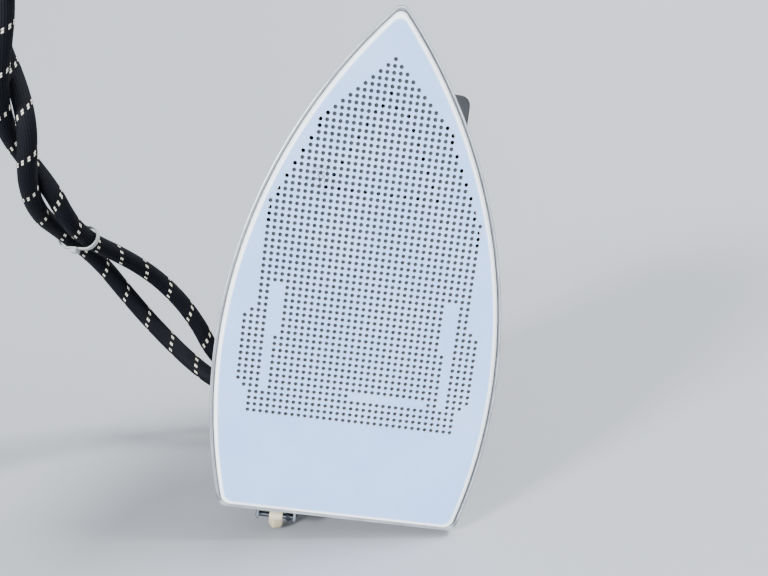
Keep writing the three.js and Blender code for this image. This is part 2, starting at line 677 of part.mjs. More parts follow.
const terminalPlaces = () => [1, -1].map((side) =>
  [HEATER_REAR_X, side * halfWidth(HEATER_REAR_X, HEATER_INSET)]);

function soleplate() {
  const foot = SOLEPLATE_INSET + CAST_EDGE;
  const casting = stack([
    [SOLE_Z, foot], [SOLE_Z + CAST_EDGE, SOLEPLATE_INSET],
    [SOLE_TOP - TOP_EDGE, SOLEPLATE_INSET], [SOLE_TOP, SOLEPLATE_INSET + TOP_EDGE],
  ]);
  const toeSlope = slab([
    point(TOE_SLOPE_X, SOLE_TOP), point(FAR, SOLE_TOP - (FAR - TOE_SLOPE_X) * TOE_SLOPE),
    point(FAR, FAR), point(TOE_SLOPE_X, FAR),
  ], -FAR, FAR);
  const grooveFloor = HEATER_Z - GROOVE_RADIUS;
  const outerInset = HEATER_INSET - GROOVE_RADIUS;
  const innerInset = HEATER_INSET + GROOVE_RADIUS;
  const groove = keep(
    prism(soleOutline(outerInset, { nose: noseAt(outerInset) }), grooveFloor, SOLE_TOP + 1,
      [soleOutline(innerInset, { nose: noseAt(innerInset) })]),
    ahead(HEATER_REAR_X),
  );
  const grooveEnd = cylinder(GROOVE_RADIUS, grooveFloor, SOLE_TOP + 1, 16);
  const grooveEnds = copies(grooveEnd, terminalPlaces());
  const vent = prism(circle(0, 0, VENT_RADIUS, VENT_SIDES), SOLE_Z - 1, FLOOR_Z + 1);
  const vents = copies(vent, ventPlaces());
  return cut(casting, toeSlope, ...steamSpace(), groove, grooveEnds, vents);
}

// A tubular heater bent to the outline of the sole, both ends turned up at the rear.
function heatingElement() {
  const bend = HEATER_TURN;
  const run = soleOutline(HEATER_INSET, { nose: HEATER_BEND })
    .filter((p) => p.x > HEATER_REAR_X + 2 * bend - 1);
  const [left, right] = [1, -1].map((side) => {
    const y = (x) => side * halfWidth(x, HEATER_INSET);
    const x = HEATER_REAR_X;
    return [
      [x, y(x), LID_TOP + TERMINAL_TOP], [x, y(x), LID_TOP], [x, y(x), HEATER_Z + bend],
      [x + bend * 0.3, y(x), HEATER_Z + bend * 0.3], [x + bend, y(x + bend), HEATER_Z],
    ];
  });
  const toeFirst = run.filter((p) => p.y >= 0).reverse();
  const back = run.filter((p) => p.y < 0).reverse();
  const middle = [...toeFirst, ...back].map((p) => [p.x, p.y, HEATER_Z]);
  const route = [...left, ...middle, ...right.reverse()];
  return tube(new Route(vectors(route)), HEATER_RADIUS, route.length - 1, 8);
}

const lidOutline = () =>
  soleOutline(LID_INSET, { nose: LID_NOSE, heel: LID_HEEL_X, corner: LID_CORNER });

function gasket() {
  const opening = soleOutline(CHANNEL_INNER + GASKET_PLAY,
    { nose: GASKET_NOSE, heel: CHAMBER_HEEL_X - GASKET_HEEL_PLAY, corner: CHAMBER_CORNER });
  return prism(lidOutline(), GASKET_Z, GASKET_Z + GASKET_THICKNESS, [opening]);
}

function chamberLid() {
  const terminal = cylinder(GROOVE_RADIUS + TERMINAL_PLAY, LID_Z - 1, LID_TOP + 1, 12);
  const inlet = cylinder(INLET_RADIUS, LID_Z - 1, LID_TOP + 1, 12).translate(INLET_X, INLET_Y, 0);
  return cut(prism(lidOutline(), LID_Z, LID_TOP), copies(terminal, terminalPlaces()), inlet);
}

function inletBoss() {
  const top = SKIRT_Z + BOSS_HEIGHT;
  const floor = SKIRT_Z + BOSS_FLOOR;
  const body = join(prism(hexagon(BOSS_RADIUS), SKIRT_Z, top - BOSS_NECK),
    cylinder(BOSS_NECK_RADIUS, top - BOSS_NECK - 1, top, 16));
  return cut(body, cylinder(PIPE_RADIUS + PIPE_PLAY, floor, top + 1, 12),
    cylinder(BOSS_BORE, SKIRT_Z - 1, floor + 1, 12)).translate(INLET_X, INLET_Y, 0);
}

// ---------------------------------------------------------------- temperature control

function thermostat() {
  const half = THERMOSTAT_BODY / 2;
  const flangeTop = THERMOSTAT_Z + THERMOSTAT_FLANGE;
  const bodyTop = THERMOSTAT_Z + THERMOSTAT_HEIGHT;
  const body = join(
    cylinder(THERMOSTAT_RADIUS, THERMOSTAT_Z, flangeTop, 20),
    box(-half, half, -half, half, flangeTop - 0.5, bodyTop),
    cylinder(SPINDLE_RADIUS + NECK_WALL, bodyTop - 1, NECK_TOP, 16),
  );
  const well = cylinder(SPINDLE_RADIUS + GAP, NECK_TOP - SPINDLE_GRIP - 1, NECK_TOP + 1, 16);
  return cut(body, well).translate(DIAL_X, 0, 0);
}

const spindle = () => cylinder(SPINDLE_RADIUS, NECK_TOP - SPINDLE_GRIP, POST_Z + SPINDLE_GRIP - GAP, 16)
  .translate(DIAL_X, 0, 0);

// A fluted knob with a raised pointer rib across its top.
function dial() {
  const foot = POST_Z + DIAL_PLAY;
  const top = foot + DIAL_HEIGHT;
  const count = DIAL_FLUTES * FLUTE_POINTS;
  const half = FLUTE_DEPTH / 2;
  const rim = Array.from({ length: count }, (_, i) => {
    const angle = (i / count) * 2 * Math.PI;
    const radius = DIAL_RADIUS - half + half * Math.cos(angle * DIAL_FLUTES);
    return point(radius * Math.cos(angle), radius * Math.sin(angle));
  });
  const grown = (share) => rim.map((p) => p.clone().multiplyScalar(share));
  const knob = loft([
    atHeight(grown(0.94), foot), atHeight(rim, foot + 1.2), atHeight(grown(0.96), top - 1.5),
    atHeight(grown(0.9), top),
  ]);
  const reach = DIAL_RADIUS * 0.8;
  const wide = POINTER_HALF_WIDTH;
  const pointer = prism(roundedRectangle(-reach, reach, -wide, wide, wide - 0.5, 2),
    top - 1, top + POINTER_RISE);
  const well = cylinder(SPINDLE_RADIUS + GAP, foot - 1, POST_Z + SPINDLE_GRIP, 16);
  return cut(join(knob, pointer), well).translate(DIAL_X, 0, 0);
}

function heatShield() {
  const z = LID_TOP + SHIELD_RISE;
  const plate = keep(prism(skirtOutline(0.86, 0.78), z, z + SHIELD_THICKNESS), ahead(SHIELD_REAR_X));
  const [long, wide] = SHIELD_LEG;
  const leg = box(-long / 2, long / 2, -wide / 2, wide / 2, LID_TOP + GAP, z + 0.5);
  const legs = SHIELD_LEG_PLACES.map(([x, y]) => leg.clone().translate(x, y, 0));
  const eye = cylinder(SPINDLE_RADIUS + NECK_WALL + 1.4, z - 1, z + 3, 16).translate(DIAL_X, 0, 0);
  return cut(join(plate, ...legs), eye);
}

// A one-shot cut-out in its clip, flat on the chamber cover beside the thermostat.
function thermalFuse() {
  const seat = LID_TOP + GAP;
  const barrel = alongX(cylinder(FUSE_RADIUS, -FUSE_LENGTH / 2, FUSE_LENGTH / 2, 14));
  const [long, wide, high] = FUSE_CLIP;
  const clip = box(-long / 2, long / 2, -wide / 2, wide / 2, seat, seat + high);
  return join(barrel.translate(0, 0, seat + FUSE_RADIUS), clip).translate(...FUSE_PLACE, 0);
}

// ---------------------------------------------------------------- skirt

// The skirt's foot outline, shrunk along and across about a point near its middle.
const skirtOutline = (long, wide) =>
  soleOutline(SKIRT_INSET, { nose: LID_NOSE, heel: SKIRT_HEEL_X, corner: 14, steps: 6 })
    .map((p) => point(SKIRT_CENTRE_X + (p.x - SKIRT_CENTRE_X) * long, p.y * wide));

function skirtBody(foot, top, wall) {
  return loft(SKIRT_CROWN.map(([height, long, wide]) => {
    const shrink = 1 - wall / 50;
    return atHeight(skirtOutline(long * shrink, wide * shrink), foot + height * (top - foot));
  }));
}

function skirt() {
  const shell = cut(skirtBody(SKIRT_Z, SKIRT_TOP, 0),
    skirtBody(SKIRT_Z - 0.2, SKIRT_TOP - SKIRT_WALL, SKIRT_WALL * 1.15));
  const drill = (radius, x) => cylinder(radius, SKIRT_TOP - 4, SKIRT_TOP + 2, 16).translate(x, 0, 0);
  return cut(shell, drill(SPINDLE_RADIUS + 1.3, DIAL_X), drill(LAMP_RADIUS - LAMP_RIM + 0.4, LAMP_X),
    drill(WIRE_HOLE_RADIUS, WIRE_HOLE_X));
}

const pilotLamp = () => turned([
  [0, SKIRT_TOP - LAMP_DEPTH], [LAMP_RADIUS - LAMP_RIM, SKIRT_TOP - LAMP_DEPTH],
  [LAMP_RADIUS - LAMP_RIM, SKIRT_TOP + GAP], [LAMP_RADIUS, SKIRT_TOP + GAP],
  [LAMP_RADIUS, SKIRT_TOP + LAMP_RISE * 0.42], [LAMP_RADIUS * 0.8, SKIRT_TOP + LAMP_RISE * 0.77],
  [LAMP_RADIUS * 0.4, SKIRT_TOP + LAMP_RISE * 0.96], [0, SKIRT_TOP + LAMP_RISE],
], 12).translate(LAMP_X, 0, 0);

// ---------------------------------------------------------------- handle

function frontPost() {
  const section = (x0, x1, half, radius, z) =>
    atHeight(roundedRectangle(x0, x1, -half, half, radius), z);
  const dialEdge = DIAL_X + DIAL_RADIUS + POST_DIAL_PLAY;
  const headX = GRIP_FRONT_X + COLLAR_THICKNESS + 2 * GAP;
  const head = POST_HALF_WIDTH;
  const post = loft([
    section(dialEdge, 49.5, 11.5, 5, POST_Z), section(dialEdge, 50.5, 10, 5, POST_Z + 5),
    section(dialEdge + 8, 54, 8, 5, POST_Z + 16), section(dialEdge + 11.5, 57, 8, 5, POST_Z + 26),
    section(headX + 0.5, POST_FRONT_X - 0.5, head - 1, POST_CORNER, HANDLE_Z - 17),
    section(headX, POST_FRONT_X, head, POST_CORNER, HANDLE_Z - 12),
    section(headX, POST_FRONT_X, head, POST_CORNER, HANDLE_Z + 8),
    section(headX + 2, POST_FRONT_X - 3, head - 3, POST_CORNER, HANDLE_Z + 13.5),
  ]);
  return cut(post, alongX(cylinder(ROD_BORE, 0, FAR, 16)).translate(0, 0, HANDLE_Z));
}

function grip() {
  const long = GRIP_FRONT_X - GRIP_REAR_X;
  const bore = ROD_BORE;
  const end = GRIP_END_RADIUS;
  const swellSteps = 7;
  const swell = Array.from({ length: swellSteps + 1 }, (_, i) => {
    const share = i / swellSteps;
    const radius = end + (GRIP_RADIUS - end) * Math.sin(Math.PI * share) ** 0.7;
    return [radius, GRIP_EDGE + share * (long - 2 * GRIP_EDGE)];
  });
  const profile = [
    [bore, 0], [end - GRIP_EDGE, 0], ...swell, [end - GRIP_EDGE, long], [bore, long], [bore, 0],
  ];
  return alongX(turned(profile, 18)).translate(GRIP_REAR_X, 0, HANDLE_Z);
}

function gripCollar(x) {
  const [bore, edge, wide] = [ROD_BORE, COLLAR_EDGE, COLLAR_THICKNESS];
  const profile = [
    [bore, 0], [COLLAR_RADIUS - edge, 0], [COLLAR_RADIUS, edge], [COLLAR_RADIUS, wide - edge],
    [COLLAR_RADIUS - edge, wide], [bore, wide], [bore, 0],
  ];
  return alongX(turned(profile, 16)).translate(x, 0, HANDLE_Z);
}

const handleRod = () =>
  alongX(cylinder(ROD_RADIUS, ROD_REAR_X, POST_FRONT_X + GAP + ROD_STICKS_OUT, 16))
    .translate(0, 0, HANDLE_Z);

// A domed nut on the front end of the rod.
function frontNut() {
  const [wide, long] = [DOME_RADIUS, DOME_LENGTH];
  const dome = turned([
    [0, 0], [wide, 0], [wide, long * 0.45], [wide * 0.865, long * 0.72], [wide * 0.54, long * 0.92],
    [0, long],
  ], 12);
  const well = cylinder(ROD_BORE, -1, ROD_STICKS_OUT + GAP, 16);
  const nut = cut(keep(dome, prism(hexagon(wide * 1.1), -1, long + 1)), well);
  return alongX(nut).translate(POST_FRONT_X + GAP, 0, HANDLE_Z);
}

function rearNut() {
  const nut = cut(prism(hexagon(REAR_NUT_RADIUS), 0, REAR_NUT_LENGTH),
    cylinder(ROD_BORE, -1, REAR_NUT_LENGTH + 1, 16));
  return alongX(nut).translate(HOUSING_INNER_X - REAR_NUT_LENGTH, 0, HANDLE_Z);
}

// ---------------------------------------------------------------- rear housing

// The housing's outside: it leans back over the heel and is square above, drawn in by wall.
function housingBody(wall, bottom) {
  const section = (x0, x1, half, radius, z) => atHeight(
    roundedRectangle(x0 + wall, x1 - wall, wall - half, half - wall, radius - wall * 0.6, wall ? 2 : 3),
    z);
  const wide = HOUSING_HALF_WIDTH;
  const rear = HOUSING_REAR_X;
  const front = HOUSING_FRONT_X;
  const corner = HOUSING_CORNER;
  const up = (share) => POST_Z + share * (HOUSING_TOP - POST_Z);
  return loft([
    section(rear + 22, front + 2.5, wide - 8, corner - 2, bottom),
    section(rear + 18, front + 1, wide - 5, corner - 1, up(0.143)),
    section(rear + 9, front, wide, corner, up(0.258)),
    section(rear + 2, front, wide, corner, up(0.344)),
    section(rear, front, wide, corner, up(0.459)),
    section(rear, front, wide, corner, HOUSING_TOP - 10),
    section(rear + 2, front - 1.5, wide - 2, corner, HOUSING_TOP - 4 - wall * 0.6),
    section(rear + 7, front - 6, wide - 7, corner - 1, HOUSING_TOP - wall),
  ]);
}

function rearHousing() {
  const outside = keep(housingBody(0, POST_Z), ahead(COVER_SPLIT_X));
  const cavity = housingBody(HOUSING_WALL, POST_Z + HOUSING_FLOOR);
  const rodHole = alongX(cylinder(ROD_BORE, HOUSING_INNER_X - 1, 0, 16)).translate(0, 0, HANDLE_Z);
  const wireHole = cylinder(WIRE_HOLE_RADIUS, POST_Z - 1, POST_Z + HOUSING_FLOOR + 2, 16)
    .translate(WIRE_HOLE_X, 0, 0);
  const cableHole = alongMinusY(cylinder(GLAND_RADIUS + 0.8, -SIDE_Y - 7, -SIDE_Y + 5, 16))
    .translate(CABLE_X, 0, CABLE_Z);
  return cut(outside, cavity, rodHole, wireHole, cableHole);
}

const rearCover = () => keep(housingBody(0, POST_Z), behind(COVER_SPLIT_X - GAP));

// A domed rubber foot that bears on the table behind the heel.
function standFoot(side) {
  const length = FOOT_LENGTH;
  const dome = turned([
    [0, 0], [FOOT_RADIUS, 0], [FOOT_RADIUS, length * 0.45], [FOOT_RADIUS * 0.84, length * 0.8],
    [FOOT_RADIUS * 0.45, length * 0.97], [0, length],
  ], 16);
  return dome.rotateY(-Math.PI / 2).translate(HOUSING_REAR_X - GAP, side * FOOT_Y, FOOT_Z);
}

// A three-pole block against the housing's front wall.
function terminalBlock() {
  const front = HOUSING_INNER_X;
  const { depth, width, bottom, height } = TERMINALS;
  const body = box(front - depth, front, -width / 2, width / 2, bottom, bottom + height);
  const pole = cylinder(POLE_RADIUS, bottom - 1, bottom + POLE_DEPTH, 8).translate(front - depth / 2, 0, 0);
  const screw = alongX(cylinder(POLE_SCREW_RADIUS, front - depth - 1, front - depth + 4, 8))
    .translate(0, 0, POLE_SCREW_Z);
  const places = [-1, 0, 1].map((i) => [0, i * POLE_SPACING]);
  return cut(body, copies(pole, places), copies(screw, places));
}

// Supply leads from the terminal block down to the two ends of the heater.
function supplyLead(side) {
  const [x, y] = terminalPlaces()[side > 0 ? 0 : 1];
  const pole = HOUSING_INNER_X - TERMINALS.depth / 2;
  const poleY = side * POLE_SPACING;
  const start = LID_TOP + TERMINAL_TOP + 0.5;
  const route = curveThrough([
    [x, y, start], [x, y, start + 2.5], [x, y - side * 4, SKIRT_TOP - 16],
    [x, side * 28, SKIRT_TOP - 10], [x, side * 13, SKIRT_TOP - 8],
    [WIRE_HOLE_X, side * 3.5, SKIRT_TOP - 4], [WIRE_HOLE_X, side * 2.4, SKIRT_TOP],
    [WIRE_HOLE_X, side * 3, POST_Z + 6], [WIRE_HOLE_X - 1, side * 6, TERMINALS.bottom - 10],
    [pole, poleY, TERMINALS.bottom - 4], [pole, poleY, TERMINALS.bottom - 0.6],
  ]);
  return tube(route, LEAD_RADIUS, 15, 6);
}

// ---------------------------------------------------------------- steam switch

function switchBox() {
  const section = (wall) => roundedRectangle(SWITCH_REAR_X + wall, SWITCH_FRONT_X - wall,
    SWITCH_INNER_Y + wall, SWITCH_OUTER_Y - wall, SWITCH_CORNER - wall, 4);
  const outside = prism(section(0), SWITCH_BOTTOM, SWITCH_TOP);
  const inside = prism(section(SWITCH_WALL), SWITCH_BOTTOM + SWITCH_WALL, SWITCH_TOP + 1);
  const slope = slab([
    point(SWITCH_REAR_X - 2, SWITCH_TOP - SWITCH_SLOPE), point(SWITCH_FRONT_X + 1, SWITCH_TOP),
    point(SWITCH_FRONT_X + 1, SWITCH_TOP + 5), point(SWITCH_REAR_X - 2, SWITCH_TOP + 5),
  ], 0, FAR);
  const chamfer = SWITCH_CHAMFER + 1;
  const footChamfer = slab([
    point(SWITCH_REAR_X - 1, SWITCH_BOTTOM - 1), point(SWITCH_REAR_X + chamfer, SWITCH_BOTTOM - 1),
    point(SWITCH_REAR_X - 1, SWITCH_BOTTOM + chamfer),
  ], 0, FAR);
  return cut(outside, inside, slope, footChamfer, leverCross(LEVER_PIN_RADIUS + GAP, 0, FAR));
}

const leverCross = (radius, y0, y1, sides = 14) =>
  slab(circle(LEVER_PIN_X, LEVER_PIN_Z, radius, sides), y0, y1);

const leverPin = () => leverCross(LEVER_PIN_RADIUS, SWITCH_INNER_Y + GAP, SWITCH_OUTER_Y - 0.2);

// The thumb lever: a flat paddle with a dished pad at its tip and two eyes on the pin.
function steamLever() {
  const top = LEVER_Z + LEVER_THICKNESS;
  const pad = LEVER_TIP_X + 11;
  const paddle = slab([
    point(LEVER_TIP_X + 1.5, LEVER_Z), point(SWITCH_FRONT_X - 3, LEVER_Z),
    point(SWITCH_FRONT_X - 1.5, LEVER_Z + 1.5), point(SWITCH_FRONT_X - 5, top - 0.5),
    point(SWITCH_FRONT_X - 12, top), point(pad + 12, top),
    ...arc(pad, top + DISH_RISE, DISH_RADIUS, turn(-55), turn(-124), 7),
    point(LEVER_TIP_X, LEVER_Z + 2),
  ], LEVER_INNER_Y, LEVER_OUTER_Y);
  const radius = LEVER_EYE_RADIUS;
  const eye = slab([
    ...arc(LEVER_PIN_X, LEVER_PIN_Z, radius, Math.PI, 2 * Math.PI, 8),
    point(LEVER_PIN_X + radius, LEVER_Z + 1), point(LEVER_PIN_X - radius, LEVER_Z + 1),
  ], 0, LEVER_EYE_WIDTH);
  const outerEye = LEVER_OUTER_Y - LEVER_EYE_INSET - LEVER_EYE_WIDTH;
  const eyes = [LEVER_INNER_Y + LEVER_EYE_INSET, outerEye].map((y) => eye.clone().translate(0, y, 0));
  return cut(join(paddle, ...eyes), leverCross(LEVER_PIN_RADIUS + GAP, 0, FAR));
}

function leverSpring() {
  const pitch = 3 * LEVER_WIRE;
  return tube(new Helix(LEVER_PIN_RADIUS + LEVER_COIL_PLAY + LEVER_WIRE, pitch, 3), LEVER_WIRE, 22, 5)
    .rotateX(-Math.PI / 2).translate(LEVER_PIN_X, LEVER_MIDDLE_Y - 2, LEVER_PIN_Z);
}

function microSwitch() {
  const floor = SWITCH_BOTTOM + SWITCH_WALL + GAP;
  const rear = SWITCH_REAR_X + SWITCH_WALL + MICRO_PLAY;
  const body = box(rear, rear + MICRO_LENGTH, LEVER_MIDDLE_Y - MICRO_WIDTH / 2,
    LEVER_MIDDLE_Y + MICRO_WIDTH / 2, floor, MICRO_TOP);
  const well = cylinder(PLUNGER_RADIUS + GAP, MICRO_TOP - MICRO_WELL, MICRO_TOP + 1, 12);
  return cut(body, well.translate(PLUNGER_X, LEVER_MIDDLE_Y, 0));
}

const switchPlunger = () => turned([
  [0, MICRO_TOP - PLUNGER_SUNK], [PLUNGER_RADIUS, MICRO_TOP - PLUNGER_SUNK],
  [PLUNGER_RADIUS, LEVER_Z - GAP - 1], [PLUNGER_RADIUS * 0.6, LEVER_Z - GAP], [0, LEVER_Z - GAP],
], 12).translate(PLUNGER_X, LEVER_MIDDLE_Y, 0);

// ---------------------------------------------------------------- steam and power entries

// The brass block: the steam pipe comes in from below and the hose leaves to the side.
function steamBlock() {
  const outline = roundedRectangle(HOSE_X - BLOCK_MARGIN, PIPE_X + PIPE_RADIUS + PIPE_MARGIN,
    SIDE_Y - BLOCK_DEPTH, SIDE_Y, BLOCK_CORNER, 2);
  const seat = cylinder(PIPE_RADIUS + PIPE_PLAY, BLOCK_BOTTOM - 1, BLOCK_BOTTOM + PIPE_SEAT, 12);
  return cut(prism(outline, BLOCK_BOTTOM, BLOCK_TOP), seat.translate(PIPE_X, PIPE_Y, 0),
    alongMinusY(cylinder(BLOCK_BORE, -PIPE_Y, FAR, 12)).translate(HOSE_X, 0, HOSE_Z));
}

function steamPipe() {
  const foot = SKIRT_Z + BOSS_FLOOR + PIPE_PLAY;
  const shares = [ // of the way across and of the way up
    [0, 0, 0], [0, 0, 0.057], [0, 0, 0.14], [0.1, 0.23, 0.34], [0.476, 1, 0.565], [0.95, 1, 0.76],
    [1, 1, 0.875], [1, 1, 0.96],
  ];
  const points = shares.map(([x, y, z]) => [INLET_X + x * (PIPE_X - INLET_X),
    INLET_Y + y * (PIPE_Y - INLET_Y), foot + z * (BLOCK_BOTTOM - foot)]);
  return tube(curveThrough([...points, [PIPE_X, PIPE_Y, BLOCK_BOTTOM + PIPE_SEAT - 1]]),
    PIPE_RADIUS, 15, 8);
}

// Fittings on an entry are turned about the cord's own axis and point to -Y.
const onEntry = (geometry, x, y, z) => alongMinusY(geometry).translate(x, y, z);

const hoseNut = () => onEntry(
  cut(prism(hexagon(NUT_RADIUS), 0, NUT_LENGTH), cylinder(CORD_BORE, -1, NUT_LENGTH + 1, 14)),
  HOSE_X, SIDE_Y - BLOCK_DEPTH - GAP, HOSE_Z);

function hoseFerrule() {
  const bore = CORD_BORE;
  return onEntry(turned([
    [bore, 0], [bore + 2, 0], [bore + 2, 1.6], [bore + 1.4, 2.2], [bore + 1.4, 3.2], [bore + 2, 3.8],
    [bore + 1.8, FERRULE_LENGTH - 0.8], [bore + 1, FERRULE_LENGTH], [bore, FERRULE_LENGTH], [bore, 0],
  ], 12), HOSE_X, SIDE_Y - BLOCK_DEPTH - 2 * GAP - NUT_LENGTH, HOSE_Z);
}

function cableGland() {
  const bore = CABLE_BORE;
  const neck = GLAND_RADIUS + 0.4;
  const lip = GLAND_RADIUS + GLAND_LIP;
  const tail = -HOUSING_WALL - GLAND_TAIL;
  return onEntry(turned([
    [bore, tail], [neck, tail], [neck, 0], [lip, 0], [lip, GLAND_FLANGE], [bore, GLAND_FLANGE],
    [bore, tail],
  ], 12), CABLE_X, SIDE_Y, CABLE_Z);
}

// A ribbed rubber sleeve that tapers along the cable.
function cableBoot() {
  const bore = CABLE_BORE;
  const step = (BOOT_LENGTH - 4) / BOOT_RIBS;
  const outside = Array.from({ length: BOOT_RIBS }, (_, i) => {
    const radius = BOOT_RADIUS - 0.1 - 0.4 * i;
    const z = 2 + i * step;
    return [[radius, z], [radius - 0.2, z + step * 0.6], [radius - 0.8, z + step * 0.65],
      [radius - 0.9, z + step * 0.95]];
  }).flat();
  return onEntry(turned([
    [bore, 0], [BOOT_RADIUS, 0], ...outside, [bore + 0.6, BOOT_LENGTH], [bore, BOOT_LENGTH],
    [bore, 0],
  ], 14), CABLE_X, SIDE_Y - GLAND_FLANGE - GAP, CABLE_Z);
}

// ---------------------------------------------------------------- cords and their hanger

const hoseCurve = curveThrough(HOSE_ROUTE);
const cableCurve = curveThrough(CABLE_ROUTE);

// The end of both cords: a frame whose Z runs on along the hose and whose X points to the cable.
function hangerFrame() {
  const end = new THREE.Vector3(...HOSE_ROUTE.at(-1));
  const along = end.clone().sub(new THREE.Vector3(...HOSE_ROUTE.at(-2))).normalize();
  const across = new THREE.Vector3(...CABLE_ROUTE.at(-1)).sub(end);
  const spacing = across.length();
  across.addScaledVector(along, -across.dot(along)).normalize();
  const frame = new THREE.Matrix4()
    .makeBasis(across, new THREE.Vector3().crossVectors(along, across), along).setPosition(end);
  return { frame, spacing };
}

const eyeHeight = HANGER_WALL + HANGER_EYE + HANGER_EYE_RIM - 0.5;

// A moulded block that the hose and the cable end in, side by side, with an eye on top.
function hangerBlock(spacing) {
  const left = -CORD_BORE - HANGER_WALL;
  const right = spacing + CABLE_BORE + HANGER_WALL;
  const half = CORD_BORE + HANGER_WALL;
  const body = prism(roundedRectangle(left, right, -half, half, 4), -HANGER_GRIP, HANGER_WALL);
  const eye = alongMinusY(sleeve(HANGER_EYE + HANGER_EYE_RIM, HANGER_EYE, -2, 2, 14))
    .translate(spacing / 2, 0, eyeHeight);
  return cut(join(body, eye), cylinder(CORD_BORE, -FAR, GAP, 14),
    cylinder(CABLE_BORE, -FAR, GAP, 14).translate(spacing, 0, 0));
}

// An S hook of wire through the block's eye.
function hangerHook(spacing) {
  const low = HANGER_EYE + HOOK_WIRE + 0.6;
  const high = low * 1.4;
  const centre = eyeHeight + HANGER_EYE + HANGER_EYE_RIM / 2;
  const route = [
    ...arc(0, centre, low, turn(110), turn(385), 8),
    ...arc(0, centre + low + high, high, turn(200), turn(-30), 8),
  ];
  return tube(curveThrough(route.map((p) => [spacing / 2, p.x, p.y])), HOOK_WIRE, 20, 5);
}

// ---------------------------------------------------------------- assembly

const shoe = new THREE.Group();
shoe.add(
  piece('ptfe_sole', ptfeSole(), PTFE),
  piece('shoe_frame', shoeFrame(), ALUMINIUM),
  piece('latch_tab', latchTab(), NYLON),
  piece('latch_hook', latchHook(), STEEL),
  piece('latch_pin', latchPin(), STEEL),
  piece('latch_spring', latchSpring(), STEEL),
);

const soleUnit = new THREE.Group();
soleUnit.add(
  piece('soleplate', soleplate(), CASTING),
  piece('heating_element', heatingElement(), STEEL),
  piece('chamber_gasket', gasket(), GRAPHITE),
  piece('chamber_lid', chamberLid(), ALUMINIUM),
  piece('steam_inlet_boss', inletBoss(), BRASS),
  piece('thermostat', thermostat(), CERAMIC),
  piece('thermal_fuse', thermalFuse(), CERAMIC),
  piece('heat_shield', heatShield(), STEEL),
);

const controls = new THREE.Group();
controls.add(
  piece('skirt_cover', skirt(), PAINT),
  piece('dial_spindle', spindle(), STEEL),
  piece('thermostat_dial', dial(), BLACK_PLASTIC),
  piece('pilot_lamp', pilotLamp(), AMBER),
);

const handle = new THREE.Group();
handle.add(
  piece('front_post', frontPost(), BLACK_PLASTIC),
  piece('grip_collar_front', gripCollar(GRIP_FRONT_X + GAP), STEEL),
  piece('cork_grip', grip(), CORK),
  piece('grip_collar_rear', gripCollar(GRIP_REAR_X - GAP - COLLAR_THICKNESS), STEEL),
  piece('handle_rod', handleRod(), STEEL),
  piece('handle_nut_front', frontNut(), STEEL),
  piece('handle_nut_rear', rearNut(), STEEL),
);

const rear = new THREE.Group();
rear.add(
  piece('rear_housing', rearHousing(), BLACK_PLASTIC),
  piece('rear_cover', rearCover(), BLACK_PLASTIC),
  piece('stand_foot_left', standFoot(1), RUBBER),
  piece('stand_foot_right', standFoot(-1), RUBBER),
  piece('terminal_block', terminalBlock(), CERAMIC),
  piece('supply_lead_left', supplyLead(1), CERAMIC),
  piece('supply_lead_right', supplyLead(-1), CERAMIC),
);

const steamSwitch = new THREE.Group();
steamSwitch.add(
  piece('switch_box', switchBox(), BLACK_PLASTIC),
  piece('steam_lever', steamLever(), BLACK_PLASTIC),
  piece('lever_pin', leverPin(), STEEL),
  piece('lever_spring', leverSpring(), STEEL),
  piece('micro_switch', microSwitch(), BLACK_PLASTIC),
  piece('switch_plunger', switchPlunger(), NYLON),
);

const entries = new THREE.Group();
entries.add(
  piece('steam_block', steamBlock(), BRASS),
  piece('steam_pipe', steamPipe(), STEEL),
  piece('hose_nut', hoseNut(), BRASS),
  piece('hose_ferrule', hoseFerrule(), STEEL),
  piece('cable_gland', cableGland(), BLACK_PLASTIC),
  piece('cable_boot', cableBoot(), RUBBER),
);

// The hose and the cable run up together, bound by a tie, to a block that hangs on a hook.
const cords = new THREE.Group();
const { frame: hangerPlace, spacing: cordSpacing } = hangerFrame();
const hangerPiece = (name, geometry, material) =>
  piece(name, geometry.applyMatrix4(hangerPlace), material);

function tieLoop() {
  const at = TIE_AT / (HOSE_ROUTE.length - 1);
  const hosePoint = hoseCurve.getPoint(at);
  const along = hoseCurve.getTangent(at);
  const samples = Array.from({ length: 200 }, (_, i) => cableCurve.getPoint(i / 199));
  const cablePoint = samples.reduce((best, p) =>
    (p.distanceTo(hosePoint) < best.distanceTo(hosePoint) ? p : best));
  const across = cablePoint.clone().sub(hosePoint);
  across.addScaledVector(along, -across.dot(along));
  const spacing = across.length();
  across.normalize();
  const frame = new THREE.Matrix4()
    .makeBasis(across, new THREE.Vector3().crossVectors(along, across), along).setPosition(hosePoint);
  const loop = (grow) => [
    ...arc(0, 0, HOSE_RADIUS + grow, Math.PI / 2, 1.5 * Math.PI, 8),
    ...arc(spacing, 0, CABLE_RADIUS + grow, -Math.PI / 2, Math.PI / 2, 8),
  ];
  const strap = prism(loop(TIE_PLAY + TIE_THICKNESS), -TIE_WIDTH / 2, TIE_WIDTH / 2, [loop(TIE_PLAY)]);
  const seat = HOSE_RADIUS + TIE_PLAY - 0.1;
  const half = TIE_HEAD / 2;
  const head = box(spacing / 2 - half, spacing / 2 + half, seat, seat + 0.8 * TIE_HEAD, -half, half);
  return join(strap, head).applyMatrix4(frame);
}

cords.add(
  piece('steam_hose', tube(hoseCurve, HOSE_RADIUS, 29, 8), BRAID),
  piece('power_cable', tube(cableCurve, CABLE_RADIUS, 31, 8), BRAID),
  piece('cable_tie', tieLoop(), TIE_PLASTIC),
  hangerPiece('hanger_block', hangerBlock(cordSpacing), BLACK_PLASTIC),
  hangerPiece('hanger_hook', hangerHook(cordSpacing), STEEL),
);

// ---------------------------------------------------------------- stance

